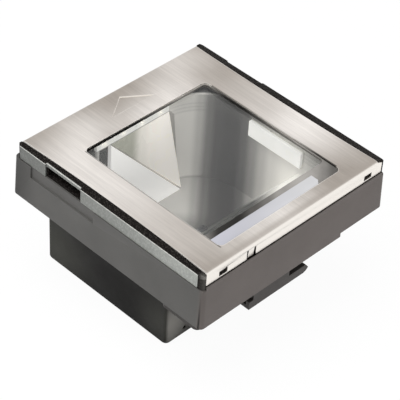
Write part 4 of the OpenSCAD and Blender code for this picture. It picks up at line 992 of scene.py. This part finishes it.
def contact_tree():
    """A row of tilted contact springs, starting at every point."""
    kinds = {"Count": "Int", "Pitch": "Float", "Width": "Float", "Length": "Float", "Slope": "Vector"}
    made = Shape("Contact springs", kinds)
    count, pitch, wide, long, slope = [made.given[name] for name in kinds]
    inputs = {0: wide, 1: long, 2: made.times(wide, 0.6)}
    size = made.add("ShaderNodeCombineXYZ", inputs).outputs[0]
    wire = made.add("GeometryNodeMeshCube", {"Size": size}).outputs["Mesh"]
    tilted = made.add("GeometryNodeTransform", {"Geometry": wire, "Rotation": slope}).outputs[0]
    step = made.add("ShaderNodeCombineXYZ", {0: pitch}).outputs[0]
    row = made.add("GeometryNodeMeshLine", {"Count": count, "Offset": step}, mode="OFFSET").outputs[0]
    return made.done(made.copies(row, tilted))


# Pieces


class ScannerOperator:
    """What the operators share: undo."""

    bl_options = {"REGISTER", "UNDO"}


class SCANNER_OT_stage(ScannerOperator, bpy.types.Operator):
    """Camera, soft lamps, white surroundings and a pale floor."""

    bl_idname = "scanner.stage"
    bl_label = "Studio"

    LAMPS = (
        ("Overhead lamp", "overhead", (1.1, 1.1), (-0.25, 0.15, 1.25)),
        ("Front lamp", "front", (0.9, 0.5), (0.45, -1.2, 0.42)),
        ("Side lamp", "side", (0.9, 0.5), (-1.1, 0.25, 0.75)),
    )
    FLOOR_HALF = 8.0

    def execute(self, context):
        look = context.scene.scanner_studio
        context.scene.view_settings.view_transform = "Standard"
        self.place_camera(context, look)
        self.light_world(context, look)
        for name, key, sides, place in self.LAMPS:
            self.hang(name, getattr(look, key), sides, place)
        self.lay_floor(look)
        return {"FINISHED"}

    def place_camera(self, context, look):
        flat = math.cos(look.elevation)
        back = Vector(
            (math.sin(look.azimuth) * flat, -math.cos(look.azimuth) * flat, math.sin(look.elevation))
        )
        level = Vector((math.cos(look.azimuth), math.sin(look.azimuth), 0))
        right = Matrix.Rotation(look.roll, 3, back) @ level
        up = back.cross(right)
        data = bpy.data.cameras.new("Studio camera")
        data.lens = look.lens
        data.clip_start = 0.05
        data.clip_end = 50
        camera = new_object("Studio camera", data)
        turn = Matrix((right, up, back)).transposed().to_4x4()
        camera.matrix_world = Matrix.Translation(Vector(look.aim) + back * look.distance) @ turn
        context.scene.camera = camera

    def seen(self, made):
        """One where the camera, a reflection or the glass looks at a surface."""
        path = made.add("ShaderNodeLightPath").outputs
        return made.greatest(path["Is Camera Ray"], path["Is Glossy Ray"], path["Is Transmission Ray"])

    def light_world(self, context, look):
        world = bpy.data.worlds.new("Studio surroundings")
        world.use_nodes = True
        made = Recipe(world.node_tree)
        made.tree.nodes.clear()
        level = made.remap(self.seen(made), 0.0, 1.0, look.fill, 1.0)
        sky = made.add("ShaderNodeBackground", {"Color": (1, 1, 1, 1), "Strength": level})
        made.add("ShaderNodeOutputWorld", {0: sky.outputs[0]})
        context.scene.world = world

    def hang(self, name, watts, sides, place):
        data = bpy.data.lights.new(name, "AREA")
        data.shape = "RECTANGLE"
        data.size, data.size_y = sides
        data.energy = watts
        lamp = new_object(name, data)
        toward = (cad_low + cad_high) / 2 - Vector(place)
        lamp.location = place
        lamp.rotation_euler = toward.to_track_quat("-Z", "Y").to_euler()
        lamp.visible_camera = False
        lamp.visible_glossy = False

    def lay_floor(self, look):
        half = self.FLOOR_HALF
        mesh = bpy.data.meshes.new("Studio floor")
        corners = [(-half, -half, 0), (half, -half, 0), (half, half, 0), (-half, half, 0)]
        mesh.from_pydata(corners, [], [(0, 1, 2, 3)])
        floor = new_object("Studio floor", mesh)
        made = Finish("Pale floor", Roughness=0.9, Specular_IOR_Level=0.0)
        white = made.add("ShaderNodeEmission", {"Color": (1, 1, 1, 1), "Strength": 1.0})
        made.blend_shader(made.times(self.seen(made), look.floor_keep), white)
        mesh.materials.append(made.done(made.mix(made.noise(3.0), dim(look.floor, 0.99), look.floor)))


class SCANNER_OT_cover(ScannerOperator, bpy.types.Operator):
    """Folded cover in brushed steel, with slightly broken cut edges."""

    bl_idname = "scanner.cover"
    bl_label = "Steel cover"

    def execute(self, context):
        look = context.scene.scanner_cover
        dressed("top_cover", steel_finish(look), look.edge_radius)
        return {"FINISHED"}


class SCANNER_OT_window(ScannerOperator, bpy.types.Operator):
    """Window glass with a ground edge, its gasket, and the bare name strip."""

    bl_idname = "scanner.window"
    bl_label = "Window"

    def execute(self, context):
        look = context.scene.scanner_window
        dressed("window_glass", glass_finish(look), look.glass_edge, 1)
        dressed("window_gasket", rubber_finish(look), 0.05 * MM)
        dressed("name_strip", strip_finish(look), 0.12 * MM)
        return {"FINISHED"}


class SCANNER_OT_frame(ScannerOperator, bpy.types.Operator):
    """Black frame with textured rails, and the light side trims."""

    bl_idname = "scanner.frame"
    bl_label = "Frame and trims"

    def execute(self, context):
        look = context.scene.scanner_plastic
        rail = moulded_finish("Textured rail", look.rail, look, 0.6, 2.5, 1.6, 0.3, 0.02, rail_marks)
        trim = moulded_finish("Light trim", look.trim, look, 0.45, 0.7, 0.8, 0.3, 0.3, trim_marks)
        dressed("top_frame", rail, look.edge_radius)
        dressed("left_trim", trim, 0.3 * MM)
        dressed("right_trim", trim, 0.3 * MM)
        return {"FINISHED"}


class SCANNER_OT_housings(ScannerOperator, bpy.types.Operator):
    """Upper and lower housings in grained grey plastic."""

    bl_idname = "scanner.housings"
    bl_label = "Housings"

    def execute(self, context):
        look = context.scene.scanner_plastic
        upper = moulded_finish("Upper housing grey", look.upper, look, 0.5, shine=0.2, extra=upper_marks)
        lower = moulded_finish("Lower housing grey", look.lower, look, 0.55, shine=0.05, extra=lower_marks)
        dressed("upper_housing", upper, look.edge_radius)
        dressed("lower_housing", lower, look.edge_radius)
        return {"FINISHED"}


class SCANNER_OT_front_parts(ScannerOperator, bpy.types.Operator):
    """Front bracket and the plate round it."""

    bl_idname = "scanner.front_parts"
    bl_label = "Bracket and front plate"

    def execute(self, context):
        look = context.scene.scanner_plastic
        finish = moulded_finish("Bracket grey", look.bracket, look, 0.45, shine=0.2)
        dressed("front_bracket", finish, look.edge_radius)
        dressed("front_plate", finish, look.edge_radius)
        return {"FINISHED"}


class SCANNER_OT_screws(ScannerOperator, bpy.types.Operator):
    """Every group of pan-head screws, with cross recesses."""

    bl_idname = "scanner.screws"
    bl_label = "Screws"

    UPWARDS = ("plate_screws", "bracket_screws", "housing_screws")
    DOWNWARDS = ("well_screws", "board_screws")
    HEAD_HEIGHT = 0.789
    SHANK = 0.509
    RECESS_TURN = 0.3

    def execute(self, context):
        look = context.scene.scanner_hardware
        finish = metal_finish("Zinc plated screw", look.zinc, 0.3)
        tree = screw_tree()
        for node in self.UPWARDS + self.DOWNWARDS:
            self.make(tree, node, finish, look)
        return {"FINISHED"}

    def make(self, tree, node, finish, look):
        solids = islands(node)
        low, high = solids[0]
        head_r = (high.x - low.x) / 2
        head_h = self.HEAD_HEIGHT * head_r
        down = node in self.DOWNWARDS
        seats = []
        for low, high in solids:
            seat_z = high.z - head_h if down else low.z + head_h
            seats.append(((low.x + high.x) / 2, (low.y + high.y) / 2, seat_z))
        values = {
            "Head Radius": head_r,
            "Head Height": head_h,
            "Shank Radius": self.SHANK * head_r,
            "Shank Length": high.z - low.z - head_h,
            "Recess Width": look.recess_width,
            "Recess Depth": look.recess_depth,
            "Turn": (math.pi if down else 0.0, 0.0, self.RECESS_TURN),
            "Material": finish,
        }
        mesh = run_shape(tree, node + "_heads", seats, values)
        mesh.shade_smooth()
        mesh.set_sharp_from_angle(angle=CREASE)
        made = new_piece(node + "_heads", mesh, finish)
        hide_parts(node)


class SCANNER_OT_inserts(ScannerOperator, bpy.types.Operator):
    """Brass inserts with a real thread in each bore."""

    bl_idname = "scanner.inserts"
    bl_label = "Threaded inserts"

    BORE = 0.69
    SIDES = 20
    RIDGE = 0.12
    FLANK = 0.32
    LEAD_IN = 0.4 * MM
    PLAIN_ENDS = 1.6 * MM

    def execute(self, context):
        look = context.scene.scanner_hardware
        finish = metal_finish("Brass insert", look.brass, 0.28)
        dressed("mount_inserts", finish, 0.15 * MM)
        shape = bmesh.new()
        for low, high in islands("mount_inserts"):
            middle = Vector(((low.x + high.x) / 2, (low.y + high.y) / 2, low.z))
            radius = self.BORE * (high.x - low.x) / 2
            self.cut_thread(shape, middle, radius, high.z - low.z, look.thread_pitch)
        mesh = bpy.data.meshes.new("insert_threads")
        shape.to_mesh(mesh)
        shape.free()
        new_piece("insert_threads", mesh, finish)
        return {"FINISHED"}

    def cut_thread(self, shape, middle, radius, depth, pitch):
        """A V ridge that winds up the wall of the bore."""
        turns = int((depth - self.PLAIN_ENDS) / pitch)
        profile = ((1.0, -self.FLANK), (1.0 - self.RIDGE, 0.0), (1.0, self.FLANK))
        rows = []
        for i in range(turns * self.SIDES + 1):
            turn = 2 * math.pi * i / self.SIDES
            rise = self.LEAD_IN + pitch * i / self.SIDES
            way = Vector((math.cos(turn), math.sin(turn), 0))
            row = []
            for out, up in profile:
                row.append(shape.verts.new(middle + way * radius * out + Vector((0, 0, rise + up * pitch))))
            rows.append(row)
        for first, second in zip(rows, rows[1:]):
            for a, b in ((0, 1), (1, 2), (2, 0)):
                shape.faces.new((first[a], second[a], second[b], first[b]))
        shape.faces.new(rows[0])
        shape.faces.new(reversed(rows[-1]))


class SCANNER_OT_optics(ScannerOperator, bpy.types.Operator):
    """The well, its mirrors and their carrier."""

    bl_idname = "scanner.optics"
    bl_label = "Optics well"

    def execute(self, context):
        look = context.scene.scanner_optics
        dressed("optics_well", well_finish(look), 0.25 * MM)
        upper = facet_finish("Upper mirror", look.upper_facet, look, (0.26, 0.28, 0.23))
        lower = facet_finish("Lower mirror", look.lower_facet, look, (0.98, 0.98, 0.98), 1.3)
        dressed("upper_mirror", upper, 0.2 * MM)
        dressed("lower_mirror", lower, 0.2 * MM)
        give_material("mirror_carrier", carrier_finish(look))
        return {"FINISHED"}


class SCANNER_OT_lights(ScannerOperator, bpy.types.Operator):
    """The light bar over its lamps, and the side light behind its diffuser."""

    bl_idname = "scanner.lights"
    bl_label = "Lights"

    def execute(self, context):
        look = context.scene.scanner_optics
        centres = [(low.x + high.x) / 2 for low, high in islands("bar_lamps_set")]
        dressed("bar_lens", light_bar_finish(look, centres), 0.2 * MM)
        dressed("side_diffuser", diffuser_finish(look), 0.3 * MM)
        give_material("bar_lamps_set", lamp_finish("Bar lamp", look, 3.0))
        give_material("side_lamps_set", lamp_finish("Side lamp", look, 2.0))
        board = board_finish("Lamp board", context.scene.scanner_hardware, paint(206, 206, 200))
        give_material("bar_board", board)
        give_material("side_board", board)
        return {"FINISHED"}


class SCANNER_OT_imager(ScannerOperator, bpy.types.Operator):
    """The imager: housing, barrel, coated lens, board, sensor and ribbon."""

    bl_idname = "scanner.imager"
    bl_label = "Imager"

    def execute(self, context):
        dressed("imager_housing", dark_finish("Imager housing", paint(44, 44, 46)), 0.3 * MM)
        dressed("lens_barrel", dark_finish("Lens barrel", paint(28, 28, 30), 0.3), 0.2 * MM)
        dressed("front_lens", lens_finish(), 0.3 * MM)
        give_material("imager_board", board_finish("Imager board", context.scene.scanner_hardware))
        give_material("image_sensor", dark_finish("Image sensor", paint(52, 54, 62), 0.15))
        give_material("imager_ribbon", dark_finish("Imager ribbon", paint(196, 138, 54), 0.35))
        return {"FINISHED"}


class SCANNER_OT_boards(ScannerOperator, bpy.types.Operator):
    """The main board and what is soldered to it."""

    bl_idname = "scanner.boards"
    bl_label = "Boards"

    def execute(self, context):
        give_material("main_board", board_finish("Main board", context.scene.scanner_hardware))
        dressed("board_chips", dark_finish("Chip resin", paint(40, 40, 42), 0.5), 0.15 * MM)
        dressed("shield_can", metal_finish("Tin plated can", paint(196, 198, 200), 0.3), 0.2 * MM)
        dressed("beeper", dark_finish("Beeper", paint(30, 30, 31), 0.4), 0.3 * MM)
        return {"FINISHED"}


class SCANNER_OT_sockets(ScannerOperator, bpy.types.Operator):
    """The sockets in the back wall, with rows of gold contacts."""

    bl_idname = "scanner.sockets"
    bl_label = "Sockets"

    CONTACT_WIDTH = 0.42 * MM
    START = (0.52, 0.27)

    def execute(self, context):
        look = context.scene.scanner_hardware
        resin = dark_finish("Socket resin", paint(36, 36, 38), 0.4)
        gold = metal_finish("Gold contact", look.gold, 0.25)
        tree = contact_tree()
        for node in ("interface_socket", "service_socket", "power_socket"):
            dressed(node, resin, 0.2 * MM)
        self.add_contacts(tree, "interface_socket", look.data_contacts, look, gold)
        self.add_contacts(tree, "service_socket", look.service_contacts, look, gold)
        return {"FINISHED"}

    def add_contacts(self, tree, node, count, look, gold):
        low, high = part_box(node)
        depth, height = self.START
        start_x = (low.x + high.x) / 2 - (count - 1) * look.contact_pitch / 2
        start = (start_x, low.y + depth * (high.y - low.y), low.z + height * (high.z - low.z))
        values = {
            "Count": count,
            "Pitch": look.contact_pitch,
            "Width": self.CONTACT_WIDTH,
            "Length": 0.5 * (high.y - low.y),
            "Slope": (math.radians(-14), 0.0, 0.0),
            "Material": gold,
        }
        mesh = run_shape(tree, node + "_contacts", [start], values)
        new_piece(node + "_contacts", mesh, gold)


OPERATORS = (
    SCANNER_OT_stage,
    SCANNER_OT_cover,
    SCANNER_OT_window,
    SCANNER_OT_frame,
    SCANNER_OT_housings,
    SCANNER_OT_front_parts,
    SCANNER_OT_screws,
    SCANNER_OT_inserts,
    SCANNER_OT_optics,
    SCANNER_OT_lights,
    SCANNER_OT_imager,
    SCANNER_OT_boards,
    SCANNER_OT_sockets,
)


class SCANNER_PT_panel(bpy.types.Panel):
    """Lists the looks and the pieces in the 3D view's sidebar."""

    bl_label = "Counter Scanner"
    bl_idname = "SCANNER_PT_panel"
    bl_space_type = "VIEW_3D"
    bl_region_type = "UI"
    bl_category = "Counter Scanner"

    def draw(self, context):
        for name, look in LOOKS.items():
            box = self.layout.box()
            box.label(text=look.__doc__)
            for key in look.__annotations__:
                box.prop(getattr(context.scene, name), key)
        for operator in OPERATORS:
            self.layout.operator(operator.bl_idname)


CLASSES = tuple(LOOKS.values()) + OPERATORS + (SCANNER_PT_panel,)


def register():
    for cls in CLASSES:
        bpy.utils.register_class(cls)
    for name, look in LOOKS.items():
        setattr(bpy.types.Scene, name, PointerProperty(type=look))


def unregister():
    for name in LOOKS:
        delattr(bpy.types.Scene, name)
    for cls in reversed(CLASSES):
        bpy.utils.unregister_class(cls)


def main():
    register()
    for operator in OPERATORS:
        group, name = operator.bl_idname.split(".")
        getattr(getattr(bpy.ops, group), name)()


if __name__ == "__main__":
    main()
